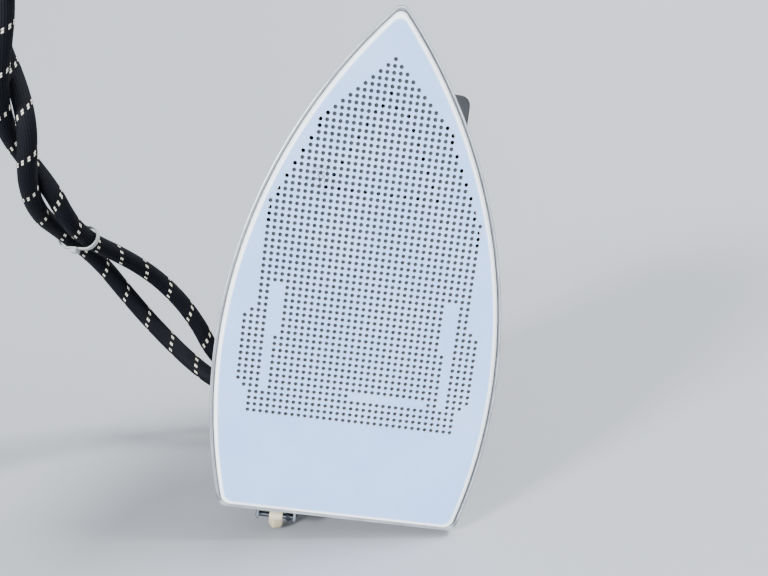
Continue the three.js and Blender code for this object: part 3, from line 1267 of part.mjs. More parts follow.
const iron = new THREE.Group();
iron.add(shoe, soleUnit, controls, handle, rear, steamSwitch, entries);

// The lowest vertex of a mesh along up.
function lowestPoint(mesh, up) {
  const vertex = new THREE.Vector3();
  const position = mesh.geometry.attributes.position;
  let lowest = null;
  for (let i = 0; i < position.count; i++) {
    vertex.fromBufferAttribute(position, i);
    if (!lowest || vertex.dot(up) < lowest.dot(up)) lowest = vertex.clone();
  }
  return lowest;
}

// Up, in the iron's frame, once it rests on the latch tab, the frame's corner and the left foot.
function restingUp() {
  const rests = ['latch_tab', 'shoe_frame', 'stand_foot_left'].map((name) => iron.getObjectByName(name));
  const up = new THREE.Vector3(1, -0.16, -0.17).normalize();
  for (let i = 0; i < 8; i++) {
    const [tab, corner, foot] = rests.map((mesh) => lowestPoint(mesh, up));
    up.crossVectors(corner.sub(tab), foot.sub(tab)).normalize();
    if (up.x < 0) up.negate();
  }
  return up;
}

const up = restingUp();
const away = new THREE.Vector3(0, 0, 1).addScaledVector(up, -up.z).normalize();
const across = new THREE.Vector3().crossVectors(away, up);
const standing = new THREE.Matrix4().makeBasis(across, away, up).transpose();

const part = new THREE.Group();
const placed = new THREE.Group();
placed.quaternion.setFromRotationMatrix(standing);
placed.add(iron, cords);
part.add(placed);

// The origin is under the middle of the iron, on the table; the cords don't count.
part.updateMatrixWorld(true);
const bounds = new THREE.Box3().setFromObject(iron, true);
placed.position.set(-(bounds.min.x + bounds.max.x) / 2, -(bounds.min.y + bounds.max.y) / 2, -bounds.min.z);

export default part;
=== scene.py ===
# %% [markdown]
# # A steam iron with a perforated shoe, standing on its heel
# This notebook finishes an electric laundry iron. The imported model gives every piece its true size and
# place. Here the visible pieces get their fine shape and their finish, one cell at a time.
# New pieces are surfaces worked out with numpy: a formula gives whole arrays of points at once.
# The iron stands tilted, so the shapes are written in the iron's own frame, in millimetres, with X to
# the toe, Y to the user's left and Z from the sole to the handle, and one function places them.

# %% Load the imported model
import json
import math

import bpy
import numpy as np
from mathutils import Matrix, Vector, geometry


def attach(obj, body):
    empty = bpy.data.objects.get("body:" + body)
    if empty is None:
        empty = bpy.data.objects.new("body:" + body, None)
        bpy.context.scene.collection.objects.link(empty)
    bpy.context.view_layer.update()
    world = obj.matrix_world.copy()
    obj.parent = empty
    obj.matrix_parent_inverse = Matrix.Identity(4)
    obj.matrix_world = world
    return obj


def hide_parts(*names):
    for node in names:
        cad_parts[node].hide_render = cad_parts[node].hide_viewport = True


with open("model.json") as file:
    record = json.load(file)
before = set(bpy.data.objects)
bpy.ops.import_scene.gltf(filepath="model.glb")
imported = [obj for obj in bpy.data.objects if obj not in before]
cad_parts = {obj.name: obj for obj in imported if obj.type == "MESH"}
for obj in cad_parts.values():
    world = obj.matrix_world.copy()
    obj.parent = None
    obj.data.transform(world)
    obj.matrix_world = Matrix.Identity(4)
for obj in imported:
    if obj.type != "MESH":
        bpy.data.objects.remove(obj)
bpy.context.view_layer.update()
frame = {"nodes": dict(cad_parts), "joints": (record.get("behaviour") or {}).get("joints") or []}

# %% [markdown]
# The iron's own frame comes from two of its joints. The dial turns about Z, and the thumb lever turns
# about -Y. The dial's pivot, which is known in both frames, fixes the origin.

# %% The iron's own frame
joints = {joint["name"]: joint for joint in frame["joints"]}
DIAL_PIVOT = (8, 0, 60)  # mm, in the iron's own frame
MM_PER_M = 1000
to_handle = Vector(joints["dial_turn"]["axis"]).normalized()
to_left = -Vector(joints["lever_press"]["axis"]).normalized()
to_toe = to_left.cross(to_handle).normalized()
AXES = np.array([to_toe, to_left, to_handle])
ORIGIN = np.array(joints["dial_turn"]["pos_m"]) - np.array(DIAL_PIVOT) / MM_PER_M @ AXES


def placed(points):
    """Millimetres in the iron's frame to metres in the row's frame: the origin, plus each coordinate times
    its own axis."""
    return ORIGIN + np.asarray(points, float) / MM_PER_M @ AXES


print("toe points to", np.round(to_toe, 3), "handle points to", np.round(to_handle, 3))

# %% [markdown]
# The camera looks up the sole from just below the middle of the handle's side, about 42 cm away, with
# the toe at the top. Its place and its two directions are given in the iron's frame.

# %% Camera
CAMERA_AT = (60.9, -14.9, -422.5)  # mm
LOOKS_ALONG = (-0.17566, 0.05216, 0.98307)
UP_THE_PICTURE = (0.97588, -0.12225, 0.18086)
LENS_MM = 46.9
SENSOR_MM = 36  # wide

forward = Vector(np.array(LOOKS_ALONG) @ AXES).normalized()
right = forward.cross(Vector(np.array(UP_THE_PICTURE) @ AXES)).normalized()
above = right.cross(forward)
camera = bpy.data.objects.new("camera", bpy.data.cameras.new("camera"))
camera.data.lens = LENS_MM
camera.data.sensor_width = SENSOR_MM
facing = Matrix((right, above, -forward)).transposed().to_4x4()
camera.matrix_world = Matrix.Translation(placed(CAMERA_AT)) @ facing
bpy.context.scene.collection.objects.link(camera)
bpy.context.scene.camera = camera
print("camera at", np.round(camera.location, 3))

# %% [markdown]
# Two helpers build every material. One turns an sRGB hex colour to linear light, and one adds a shader
# node with its settings and links. Patterns read either the object's coordinates, in metres, or an
# attribute that the piece carries.

# %% Material helpers
def linear(hex_colour):
    """sRGB hex to linear RGBA: each channel over 255, then the standard sRGB curve undone."""
    channels = [int(hex_colour[i:i + 2], 16) / 255 for i in (1, 3, 5)]
    return [c / 12.92 if c <= 0.04045 else ((c + 0.055) / 1.055) ** 2.4 for c in channels] + [1]


def add(tree, kind, inputs=None, **settings):
    """Adds a shader node of this kind. An input that is an output socket is linked, and any other is set."""
    node = tree.nodes.new("ShaderNode" + kind)
    for name, value in settings.items():
        setattr(node, name, value)
    for name, value in (inputs or {}).items():
        if isinstance(value, bpy.types.NodeSocket):
            tree.links.new(value, node.inputs[name])
        else:
            node.inputs[name].default_value = value
    return node


def new_material(name, base, roughness, metallic=0.0, **shader):
    """A Principled material with its even values set on the shader's own sockets."""
    material = bpy.data.materials.new(name)
    material.use_nodes = True
    principled = material.node_tree.nodes["Principled BSDF"]
    principled.inputs["Base Color"].default_value = linear(base)
    principled.inputs["Roughness"].default_value = roughness
    principled.inputs["Metallic"].default_value = metallic
    for socket, value in shader.items():
        principled.inputs[socket.replace("_", " ")].default_value = value
    return material, material.node_tree, principled


def iron_mm(tree, stretch=(1, 1, 1)):
    """Object coordinates turned and moved into the iron's own frame, in millimetres, then stretched."""
    coordinates = add(tree, "TexCoord").outputs["Object"]
    own = add(tree, "Mapping", {
        "Vector": coordinates, "Scale": (MM_PER_M, MM_PER_M, MM_PER_M),
        "Rotation": Matrix(AXES).to_euler(), "Location": AXES @ ORIGIN * -MM_PER_M}).outputs[0]
    return add(tree, "VectorMath", {0: own, 1: stretch}, operation="MULTIPLY").outputs[0]


def two_tone(tree, factor, low, high, start, end):
    """A colour that runs from low to high as factor goes from start to end."""
    ramp = add(tree, "ValToRGB", {"Fac": factor})
    for stop, position, colour in zip(ramp.color_ramp.elements, (start, end), (low, high)):
        stop.position = position
        stop.color = linear(colour)
    return ramp.outputs["Color"]


def between(tree, factor, low, high):
    """A number that runs from low to high with factor."""
    return add(tree, "MapRange", {"Value": factor, "To Min": low, "To Max": high}).outputs["Result"]


def bump(tree, principled, height, distance_mm, strength):
    """Lifts the surface by height times this distance, as shading."""
    node = add(tree, "Bump", {"Height": height, "Distance": distance_mm / MM_PER_M, "Strength": strength})
    tree.links.new(node.outputs["Normal"], principled.inputs["Normal"])


print("mid grey in linear light:", round(linear("#808080")[0], 3))

# %% [markdown]
# The mesh helpers work on whole arrays. A piece is a grid of points whose rows are rings, each ring
# counterclockwise when it is seen from the end that the rows go to, so that the faces point outwards.

# %% Mesh helpers
def grid_faces(rows, columns):
    """Quads between neighbours in a grid that is numbered row by row, and whose rows are closed rings."""
    row = np.arange(rows - 1)[:, None]
    column = np.arange(columns)[None, :]
    following = (column + 1) % columns
    corners = [row * columns + column, row * columns + following,
               (row + 1) * columns + following, (row + 1) * columns + column]
    return np.stack(np.broadcast_arrays(*corners), -1).reshape(-1, 4)


def new_piece(name, points, faces, material, stands_for, slot, body="iron", crease=35):
    """A mesh from millimetres in the iron's frame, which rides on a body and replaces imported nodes. It is
    shaded smooth, apart from edges whose angle in degrees is over the crease."""
    mesh = bpy.data.meshes.new(name)
    mesh.from_pydata(placed(points).tolist(), [], [tuple(int(i) for i in face) for face in faces])
    mesh.update()
    mesh.polygons.foreach_set("use_smooth", np.ones(len(mesh.polygons), bool))
    mesh.set_sharp_from_angle(angle=math.radians(crease))
    mesh.materials.append(material)
    piece = bpy.data.objects.new(name, mesh)
    bpy.context.scene.collection.objects.link(piece)
    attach(piece, body)
    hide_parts(*stands_for)
    print(name, len(mesh.polygons), "faces")
    return piece


def ring_body(rings):
    """Points and faces of a body through rings of points, rows by columns by 3, with a flat face on each
    end."""
    rows, columns = rings.shape[:2]
    faces = grid_faces(rows, columns).tolist()
    faces.append(list(range(columns))[::-1])
    faces.append(list(range((rows - 1) * columns, rows * columns)))
    return rings.reshape(-1, 3), faces


def joined(*bodies):
    """Several (points, faces) bodies as one."""
    points, faces, start = [], [], 0
    for some_points, some_faces in bodies:
        points.append(some_points)
        faces += [[int(i) + start for i in face] for face in some_faces]
        start += len(some_points)
    return np.concatenate(points), faces


def spline(given, between):
    """A Catmull-Rom spline through the given points or rings, with this many steps from one to the next.
    From b to c, with a before and d after, it is half of
    2b + (c - a) t + (2a - 5b + 4c - d) t^2 + (d - a + 3(b - c)) t^3."""
    given = np.asarray(given, float)
    ends = np.concatenate([2 * given[:1] - given[1:2], given, 2 * given[-1:] - given[-2:-1]])
    a, b, c, d = (ends[i:len(ends) - 3 + i, None] for i in range(4))
    t = np.linspace(0, 1, between, endpoint=False).reshape(1, -1, *[1] * (given.ndim - 1))
    curve = 0.5 * (2 * b + (c - a) * t + (2 * a - 5 * b + 4 * c - d) * t**2 + (d - a + 3 * (b - c)) * t**3)
    return np.concatenate([curve.reshape(-1, *given.shape[1:]), given[-1:]])


def smooth_line(route, step):
    """A spline through the points, cut into equal steps along its length, and the length to each cut."""
    line = spline(route, 24)
    length = np.concatenate([[0], np.cumsum(np.linalg.norm(np.diff(line, axis=0), axis=1))])
    even = np.linspace(0, length[-1], int(length[-1] / step) + 1)
    return np.stack([np.interp(even, length, line[:, i]) for i in range(3)], -1), even


def tube_rings(line, radius, sides, side_hint):
    """Rings about a line. Each ring's first axis is the hint with its part along the line taken away, and
    its second is the line's direction crossed with the first. radius is a value or a rows by sides grid."""
    along = np.gradient(line, axis=0)
    along /= np.linalg.norm(along, axis=1, keepdims=True)
    first = np.asarray(side_hint, float) - along * (along @ np.asarray(side_hint, float))[:, None]
    first /= np.linalg.norm(first, axis=1, keepdims=True)
    second = np.cross(along, first)
    angle = np.linspace(0, 2 * np.pi, sides, endpoint=False)
    spoke = (first[:, None] * np.cos(angle)[None, :, None] + second[:, None] * np.sin(angle)[None, :, None])
    return line[:, None] + spoke * np.broadcast_to(radius, (len(line), sides))[..., None]

# %% [markdown]
# The steam hose and the power cable wear a black braid. Its threads lie lengthwise as fine ribs, and a
# pair of pale tracer threads winds round and dips under every few ribs, so it shows as a slanting row of
# double flecks once in each turn. The ribs are real relief, because they catch the light along the whole
# cord. The tracer is drawn in the material, on a UV map whose U is millimetres along and V is turns.

# %% Braid material
BRAID_RIBS = 24
FLECKS = 9  # in one turn of the tracer
TRACER_WIDTH = 0.75  # mm along the cord, of each of the two threads
TRACER_OFFSET = 0.55  # mm from the middle of the pair to each thread


def braided_textile(name, pitch, start, hand):
    """Black polyester braid, IOR 1.5, its sheen dulled by wear. The tracer makes one turn in each pitch, in
    mm, from this start, in turns, and hand is 1 or -1 for its slant."""
    material, tree, principled = new_material(name, "#07080c", 0.62, Specular_IOR_Level=0.1)
    parts = add(tree, "SeparateXYZ", {"Vector": add(tree, "UVMap", uv_map="cord").outputs[0]})
    along, around = parts.outputs[0], parts.outputs[1]
    turns = add(tree, "Math", {0: along, 1: 1 / pitch}, operation="MULTIPLY").outputs[0]
    turns = add(tree, "Math", {0: turns, 1: start}, operation="ADD").outputs[0]
    lead = add(tree, "Math", {0: around, 1: hand, 2: turns}, operation="MULTIPLY_ADD").outputs[0]
    winding = add(tree, "Math", {0: lead, 1: 1.0, 2: 0.0}, operation="WRAP").outputs[0]
    middle = add(tree, "Math", {0: winding, 1: 0.5}, operation="SUBTRACT").outputs[0]
    distance = add(tree, "Math", {0: middle}, operation="ABSOLUTE").outputs[0]
    aside = add(tree, "Math", {0: distance, 1: TRACER_OFFSET / pitch}, operation="SUBTRACT").outputs[0]
    from_thread = add(tree, "Math", {0: aside}, operation="ABSOLUTE").outputs[0]
    band = add(tree, "MapRange", {"Value": from_thread, "From Min": TRACER_WIDTH / pitch * 0.35,
                                  "From Max": TRACER_WIDTH / pitch * 0.65, "To Min": 1, "To Max": 0})
    phase = add(tree, "Math", {0: around, 1: FLECKS * 2 * math.pi}, operation="MULTIPLY").outputs[0]
    wave = add(tree, "Math", {0: phase}, operation="COSINE").outputs[0]
    fleck = add(tree, "MapRange", {"Value": wave, "From Min": 0.2, "From Max": 0.6})
    tracer = add(tree, "Math", {0: band.outputs[0], 1: fleck.outputs[0]}, operation="MULTIPLY").outputs[0]
    thread = add(tree, "TexNoise", {"Vector": iron_mm(tree), "Scale": 1.6, "Detail": 3.0})
    black = two_tone(tree, thread.outputs["Fac"], "#020306", "#090b12", 0.3, 0.75)
    colour = add(tree, "Mix", {"Factor": tracer, "A": black, "B": linear("#ded9c8")}, data_type="RGBA")
    tree.links.new(colour.outputs["Result"], principled.inputs["Base Color"])
    return material


print("ribs round each cord:", BRAID_RIBS, "and tracer flecks in a turn:", FLECKS)

# %% [markdown]
# Both routes are given point by point, and are the same as in the imported model. They leave the
# rear housing straight, run up behind the iron, twist round each other and end in the hanger's block.

# %% The cords
HOSE_ROUTE = [
    [-94.5, -37, 109], [-94.5, -46, 109], [-92.5, -56, 109], [-87.5, -66, 108.5], [-78, -75.5, 107.5],
    [-65.5, -83.5, 105], [-53.5, -93, 101.5], [-42.5, -104, 95.5], [-34, -114.5, 87],
    [-27.5, -124, 77.5], [-22.5, -131, 67.5], [-17.5, -135.5, 58], [-12, -139, 50], [-5.5, -142, 44],
    [1.5, -145.5, 40.5], [8, -150, 38.5], [14.5, -155, 36], [21, -159.5, 31.5], [28, -162.5, 25],
    [36, -163.5, 17.5], [44, -163.5, 11.5], [52.5, -163, 7.5], [60.5, -162, 5], [69, -161, 3],
    [77, -160.5, 2], [85, -160.7, 1.4], [94, -161.1, 0.95], [103, -161.5, 0.5],
]
CABLE_ROUTE = [
    [-95.5, -29, 88], [-95.5, -41, 88], [-95.5, -50, 88], [-94, -60, 89.5], [-90, -72, 92.5],
    [-84, -83.5, 96], [-75, -96, 98], [-63, -109, 96.5], [-49.5, -121, 92], [-37, -130.5, 85],
    [-28, -137.5, 76], [-21.5, -143, 66.5], [-15.5, -147.5, 57], [-9.5, -151.5, 46.5],
    [-2, -153.5, 36.5], [7, -154, 28], [15.5, -153.5, 22.5], [24, -153, 19.5], [33, -153.5, 18],
    [41, -155.5, 18.5], [48.5, -158.5, 19.5], [56, -162, 20], [62.5, -165, 18.5], [69.5, -167, 16],
    [76.5, -169, 13.2], [85, -170.7, 10.9], [94, -171.1, 10.45], [103, -171.5, 10],
]
CORD_RADIUS = 4.25  # mm
CORD_STEP = 1.25  # mm between rings
RIB_HEIGHT = 0.24  # mm
RIB_CROWN = 0.05  # mm that the ribs stand outside the radius, so that the braid keeps its mean diameter
CORD_SIDES = BRAID_RIBS * 5
SIDE_HINT = (1, 1, 0)  # never along either route
HOSE_TRACER = (17.7, 0.468, -1)  # pitch, start and hand
CABLE_TRACER = (18.46, 0.362, -1)


def cord_uv(piece, along, sides):
    """A UV map with millimetres along in U and turns round in V, set corner by corner; the last column of
    quads ends at one whole turn, so the pattern closes."""
    mesh = piece.data
    corner = np.zeros(len(mesh.loops), int)
    mesh.loops.foreach_get("vertex_index", corner)
    turn = (corner % sides) / sides
    quads = (len(along) - 1) * sides * 4
    last = np.zeros(len(corner), bool)
    last[:quads] = (np.arange(quads) // 4 % sides) == sides - 1
    turn[last & (turn == 0)] = 1
    values = np.stack([along[np.minimum(corner // sides, len(along) - 1)], turn], -1)
    mesh.uv_layers.new(name="cord").data.foreach_set("uv", values.ravel())


def braided_cord(name, route, node, material):
    """A tube whose radius is R - h (1 - |cos(n a / 2)|), which gives n round ribs with creases between."""
    line, along = smooth_line(route, CORD_STEP)
    angle = np.linspace(0, 2 * np.pi, CORD_SIDES, endpoint=False)
    ribs = CORD_RADIUS + RIB_CROWN - RIB_HEIGHT * (1 - np.abs(np.cos(BRAID_RIBS * angle / 2)))
    rings = tube_rings(line, ribs[None, :], CORD_SIDES, SIDE_HINT)
    piece = new_piece(name, *ring_body(rings), material, stands_for=[node], slot="braid", crease=60)
    cord_uv(piece, along, CORD_SIDES)
    print(name, "length", round(along[-1], 1), "mm")
    return piece, line, along[-1] / MM_PER_M


hose_braid = braided_textile("polyester_braid_hose", *HOSE_TRACER)
cable_braid = braided_textile("polyester_braid_cable", *CABLE_TRACER)
hose, hose_line, hose_length = braided_cord("braided_hose", HOSE_ROUTE, "steam_hose", hose_braid)
cable, cable_line, cable_length = braided_cord("braided_cable", CABLE_ROUTE, "power_cable", cable_braid)


# %% [markdown]
# One outline drives the whole sole unit: a long arc for each side, a rounded toe and a straight heel.
# Drawing it in or letting it out gives the plate, the frame's walls and the skirt's foot.

# %% Outline of the sole
SIDE_RADIUS, HALF_WIDTH, WIDEST_X, HEEL_X = 236.5, 60.5, -56, -120.6  # mm
ARC_Y = HALF_WIDTH - SIDE_RADIUS  # where the left side's arc has its centre
CORNER_STEPS = 8


def arc(x, y, radius, start, stop, steps):
    """Points x + r cos a, y + r sin a on an arc."""
    angle = np.linspace(start, stop, steps + 1)
    return np.stack([x + radius * np.cos(angle), y + radius * np.sin(angle)], -1)


def sole_ring(inset, nose=3.5, corner=4.5, heel=HEEL_X, steps=64):
    """The outline, drawn in by inset. The nose touches both side arcs, and so do the heel's corners."""
    radius = SIDE_RADIUS - inset
    nose_x = WIDEST_X + math.sqrt((radius - nose) ** 2 - ARC_Y**2)
    corner_x = heel + inset + corner
    corner_y = ARC_Y + math.sqrt((radius - corner) ** 2 - (corner_x - WIDEST_X) ** 2)
    nose_angle = math.atan2(-ARC_Y, nose_x - WIDEST_X)
    corner_angle = math.atan2(corner_y - ARC_Y, corner_x - WIDEST_X)
    left = np.vstack([arc(nose_x, 0, nose, 0, nose_angle, CORNER_STEPS),
                      arc(WIDEST_X, ARC_Y, radius, nose_angle, corner_angle, steps)[1:],
                      arc(corner_x, corner_y, corner, corner_angle, np.pi, CORNER_STEPS)[1:]])
    return np.vstack([left, left[:0:-1] * (1, -1)])


def at_height(outline, z):
    """Lays a flat outline at a height."""
    return np.column_stack([outline, np.full(len(outline), float(z))])


def loop_body(rings):
    """Points and faces of a body whose last ring joins its first, such as a rim or a sleeve."""
    rows, columns = rings.shape[:2]
    return rings.reshape(-1, 3), (grid_faces(rows + 1, columns) % (rows * columns)).tolist()


print("the sole is", np.round(np.ptp(sole_ring(0), axis=0), 1), "mm long and wide")


# %% [markdown]
# The shoe's plate is moulded PTFE, about 2 mm thick, on a sheet of aluminium. Its perforations stand in
# a square grid, and all of them are real holes: each has a chamfered mouth, a wall and a floor. The floor
# is painted near-black, as painted shade at the foot of each hole. The ones over the steam vents go right
# through. The flat faces between the holes are filled by a constrained triangulation, because no grid of
# quads fits round 1,500 circles.

# %% Perforated plate
PITCH = 2.8  # mm
HOLE_RADIUS = 0.92
MOUTH = 0.03  # mm, the chamfer
HOLE_DEPTH = 0.9
PLATE, PLATE_EDGE, EDGE_RISE = 2.0, 2.2, 1.9  # mm: thickness, and the rolled edge's width and height
EDGE_RINGS = 7
FLAT_MARGIN = 0.2  # mm of flat face inside the edge, which keeps its shading flat
HOLE_SIDES = 12

# The holes stand in rows from the toe, and row 0 is at X = 0. Widths are counted in columns to each side.
FIRST_ROW, LAST_ROW, LAST_COLUMN = -29, 27, 18
SHOULDER_ROW, SHOULDER_WIDTH, FULL_WIDTH = -18, 10, 16
STEP_ROWS = (11, 23)  # between them the rows are two columns wider
BARE_STRIPS = [  # first and last row, first and last column
    (7, 14, -14, -13), (7, 14, 13, 14), (15, 23, -14, -14), (15, 23, 14, 14), (23, 23, 0, 11),
]

# The steam vents, in the same rows and columns.
TOE_VENTS = [(0, -24), (-1, -22), (1, -22)]  # column, row
ARM_ROWS, ARM_APEX = np.arange(-21, -8, 2), -26
BAR_COLUMNS, BAR_ROW = np.arange(-6, 7, 2), -9
EDGE_ROWS = np.array([-20, -19, -18, -16, -14, -12, -10, -8, -7, -5, -4, -3])
CHANNEL_WALL, CHANNEL_VENT = 3, 1.7  # mm from the outline to the channel, and from there to a vent


def perforations():
    """Centres of the holes. A row widens by one column, then by half a column a row, steps out near the heel
    and leaves the bare strips out."""
    row, column = np.mgrid[FIRST_ROW:LAST_ROW + 1, -LAST_COLUMN:LAST_COLUMN + 1]
    width = SHOULDER_WIDTH + np.maximum(0, (row - SHOULDER_ROW) // 2)
    width = np.minimum(np.minimum(row - FIRST_ROW, width), FULL_WIDTH)
    first, last = STEP_ROWS
    width = np.where((row == first) | (row == last), FULL_WIDTH + 1, width)
    width = np.where((row > first) & (row < last), FULL_WIDTH + 2, width)
    keep = np.abs(column) <= width
    for top, bottom, left, right in BARE_STRIPS:
        keep &= ~((row >= top) & (row <= bottom) & (column >= left) & (column <= right))
    return np.stack([-PITCH * row[keep], PITCH * column[keep]], -1)


def vents():
    """Centres of the steam vents: two arms that spread from the toe, a bar across, and a line along each
    edge in the last column that the side's arc leaves room for."""
    spread = (ARM_ROWS - ARM_APEX) / 2
    half = np.sqrt((SIDE_RADIUS - CHANNEL_WALL) ** 2 - (-PITCH * EDGE_ROWS - WIDEST_X) ** 2) + ARC_Y
    out = np.floor((half - CHANNEL_VENT) / PITCH)
    bar = np.full(len(BAR_COLUMNS), BAR_ROW)
    lines = [(0.5 - spread, ARM_ROWS), (0.5 + spread, ARM_ROWS), (BAR_COLUMNS, bar), (-out, EDGE_ROWS),
             (out, EDGE_ROWS)]
    cells = np.vstack([TOE_VENTS, *(np.column_stack(line) for line in lines)])
    return cells[:, ::-1] * (-PITCH, PITCH)


def filled(outline, circles):
    """Triangles between an outline and the circles in it, as indices into the two point lists in turn."""
    points = np.vstack([outline, circles.reshape(-1, 2)])
    ring = np.arange(len(outline))
    start = len(outline) + np.arange(len(circles))[:, None] * circles.shape[1]
    turn = np.arange(circles.shape[1])[None, :]
    edges = np.vstack([
        np.column_stack([ring, (ring + 1) % len(ring)]),
        np.stack([start + turn, start + (turn + 1) % circles.shape[1]], -1).reshape(-1, 2)])
    found = geometry.delaunay_2d_cdt([Vector(p) for p in points.tolist()], edges.tolist(), [], 1, 1e-6, True)
    source = np.array([ids[0] for ids in found[3]])
    triangles = source[np.array(found[2])]
    owner = np.where(triangles < len(outline), -1, (triangles - len(outline)) // circles.shape[1])
    in_a_circle = (owner[:, 0] >= 0) & (owner == owner[:, :1]).all(1)
    return triangles[~in_a_circle]


def circles_at(centres, radius):
    """A ring of points of this radius round each centre."""
    angle = np.linspace(0, 2 * np.pi, HOLE_SIDES, endpoint=False)
    return centres[:, None] + radius * np.stack([np.cos(angle), np.sin(angle)], -1)[None]


def perforated_plate(material, hole_floor_shade):
    """The plate's edge rings, its two flat faces and, for each hole, a mouth, a wall and a floor."""
    angle = np.linspace(0, np.pi / 2, EDGE_RINGS)
    levels = [(0, PLATE_EDGE + FLAT_MARGIN)]
    levels += [(EDGE_RISE * (1 - math.cos(a)), PLATE_EDGE * (1 - math.sin(a))) for a in angle] + [(PLATE, 0)]
    rings = np.array([at_height(sole_ring(inset), z) for z, inset in levels])
    count = rings.shape[1]
    holes = perforations()
    through = (np.linalg.norm(holes[:, None] - vents()[None], axis=2) < PITCH / 2).any(1)
    holes = np.vstack([holes[~through], holes[through]])
    blind = int((~through).sum())
    depth = np.where(np.arange(len(holes)) < blind, HOLE_DEPTH, PLATE)
    mouth, wall = circles_at(holes, HOLE_RADIUS + MOUTH), circles_at(holes, HOLE_RADIUS)
    level = [np.zeros(len(holes)), np.full(len(holes), MOUTH), depth]
    bores = np.stack([np.concatenate([flat, np.broadcast_to(z[:, None, None], (*flat.shape[:2], 1))], -1)
                      for flat, z in zip((mouth, wall, wall), level)], 1)
    start = rings.shape[0] * count
    first = start + np.arange(len(holes))[:, None, None] * HOLE_SIDES * 3
    bore_faces = (first + grid_faces(3, HOLE_SIDES)[None, :, ::-1]).reshape(-1, 4)
    turn = np.arange(HOLE_SIDES)
    mouth_index = first[:, 0] + turn
    floor_index = first[:, 0] + 2 * HOLE_SIDES + turn
    front = np.concatenate([np.arange(count), mouth_index.ravel()])[filled(rings[0, :, :2], mouth)]
    back = np.concatenate([np.arange(start - count, start), floor_index[blind:].ravel()])[
        filled(rings[-1, :, :2], wall[blind:])]
    points = np.vstack([rings.reshape(-1, 3), bores.reshape(-1, 3)])
    floors = floor_index[:blind, ::-1]
    parts = [grid_faces(rings.shape[0], count), front[:, ::-1], back, bore_faces, floors]
    faces = [face for part in parts for face in part.tolist()]
    piece = new_piece("perforated_plate", points, faces, material, stands_for=["ptfe_sole"], slot="ptfe")
    piece.data.materials.append(hole_floor_shade)
    # The holes' floors take the second material, their painted shade.
    index = np.zeros(len(faces), np.int32)
    index[-blind:] = 1
    piece.data.polygons.foreach_set("material_index", index)
    print("perforations", len(holes), "of them open", len(holes) - blind)
    return piece


SPECKS_AT = (29, -24.5, 0)  # mm
SPECK_STRENGTH = 0.95


def moulded_ptfe():
    """PTFE, IOR 1.35, cool and pale: a soft sheen from ironing, fine scratches, a painted highlight that
    turns the rolled edge and the holes' walls white, and some brown specks that dried out of the steam."""
    material, tree, principled = new_material("moulded_ptfe", "#9cbbed", 0.42, IOR=1.35,
                                              Subsurface_Weight=0.05)
    place = iron_mm(tree)
    cloud = add(tree, "TexNoise", {"Vector": place, "Scale": 0.035, "Detail": 4.0})
    pale = two_tone(tree, cloud.outputs["Fac"], "#96b6ec", "#a2c0ef", 0.35, 0.7)
    # Painted highlight: the surface turns white where it lies more than 0.12 mm back from the flat face,
    # which is the rolled edge and the holes' walls.
    depth = add(tree, "SeparateXYZ", {"Vector": place}).outputs[2]
    edge = add(tree, "MapRange", {"Value": depth, "From Min": 0.0, "From Max": 0.12}).outputs[0]
    whole = add(tree, "Mix", {"Factor": edge, "A": pale, "B": linear("#ffffff")}, data_type="RGBA")
    speck = add(tree, "TexNoise", {"Vector": place, "Scale": 0.9, "Detail": 1.0})
    spot = add(tree, "VectorMath", {0: place, 1: SPECKS_AT}, operation="DISTANCE").outputs["Value"]
    near = add(tree, "MapRange", {"Value": spot, "From Min": 1.5, "From Max": 9.0, "To Min": 1, "To Max": 0})
    grain = add(tree, "MapRange", {"Value": speck.outputs["Fac"], "From Min": 0.54, "From Max": 0.58})
    rust = add(tree, "Math", {0: near.outputs[0], 1: grain.outputs[0]}, operation="MULTIPLY").outputs[0]
    rust = add(tree, "Math", {0: rust, 1: SPECK_STRENGTH}, operation="MULTIPLY").outputs[0]
    stained = {"Factor": rust, "A": whole.outputs["Result"], "B": linear("#5a4716")}
    colour = add(tree, "Mix", stained, data_type="RGBA")
    tree.links.new(colour.outputs["Result"], principled.inputs["Base Color"])
    polish = add(tree, "TexNoise", {"Vector": place, "Scale": 0.12, "Detail": 5.0})
    tree.links.new(between(tree, polish.outputs["Fac"], 0.34, 0.5), principled.inputs["Roughness"])
    slanted = add(tree, "Mapping", {"Vector": place, "Rotation": (0, 0, 0.5), "Scale": (0.05, 1.2, 1.0)})
    scratch = add(tree, "TexNoise", {"Vector": slanted.outputs[0], "Scale": 1.5, "Detail": 2.0})
    fine = add(tree, "MapRange", {"Value": scratch.outputs["Fac"], "From Min": 0.6, "From Max": 0.66})
    bump(tree, principled, fine.outputs[0], 0.01, 0.5)
    return material


def shaded_hole_floor():
    """The floor of each hole, where the aluminium sheet behind the plate would show: painted near-black, as
    painted shade at the foot of the hole.
    """
    material, tree, principled = new_material("hole_floor_painted_shade", "#4d5258", 0.6, 0.2)
    place = iron_mm(tree)
    tone = add(tree, "TexNoise", {"Vector": place, "Scale": 0.3, "Detail": 3.0}).outputs["Fac"]
    # Painted shade: near-black tones in place of the aluminium's own grey.
    tree.links.new(two_tone(tree, tone, "#16191d", "#262a2f", 0.35, 0.65), principled.inputs["Base Color"])
    return material


perforated_plate(moulded_ptfe(), shaded_hole_floor())

# %% [markdown]
# The shoe's frame is pressed aluminium: a wall round the plate and the soleplate's flange, a ledge
# between the two, a lip that hooks over the toe and two ears for the latch's pin. The rim is one closed
# section carried round the outline. Brushing leaves lengthwise lines.

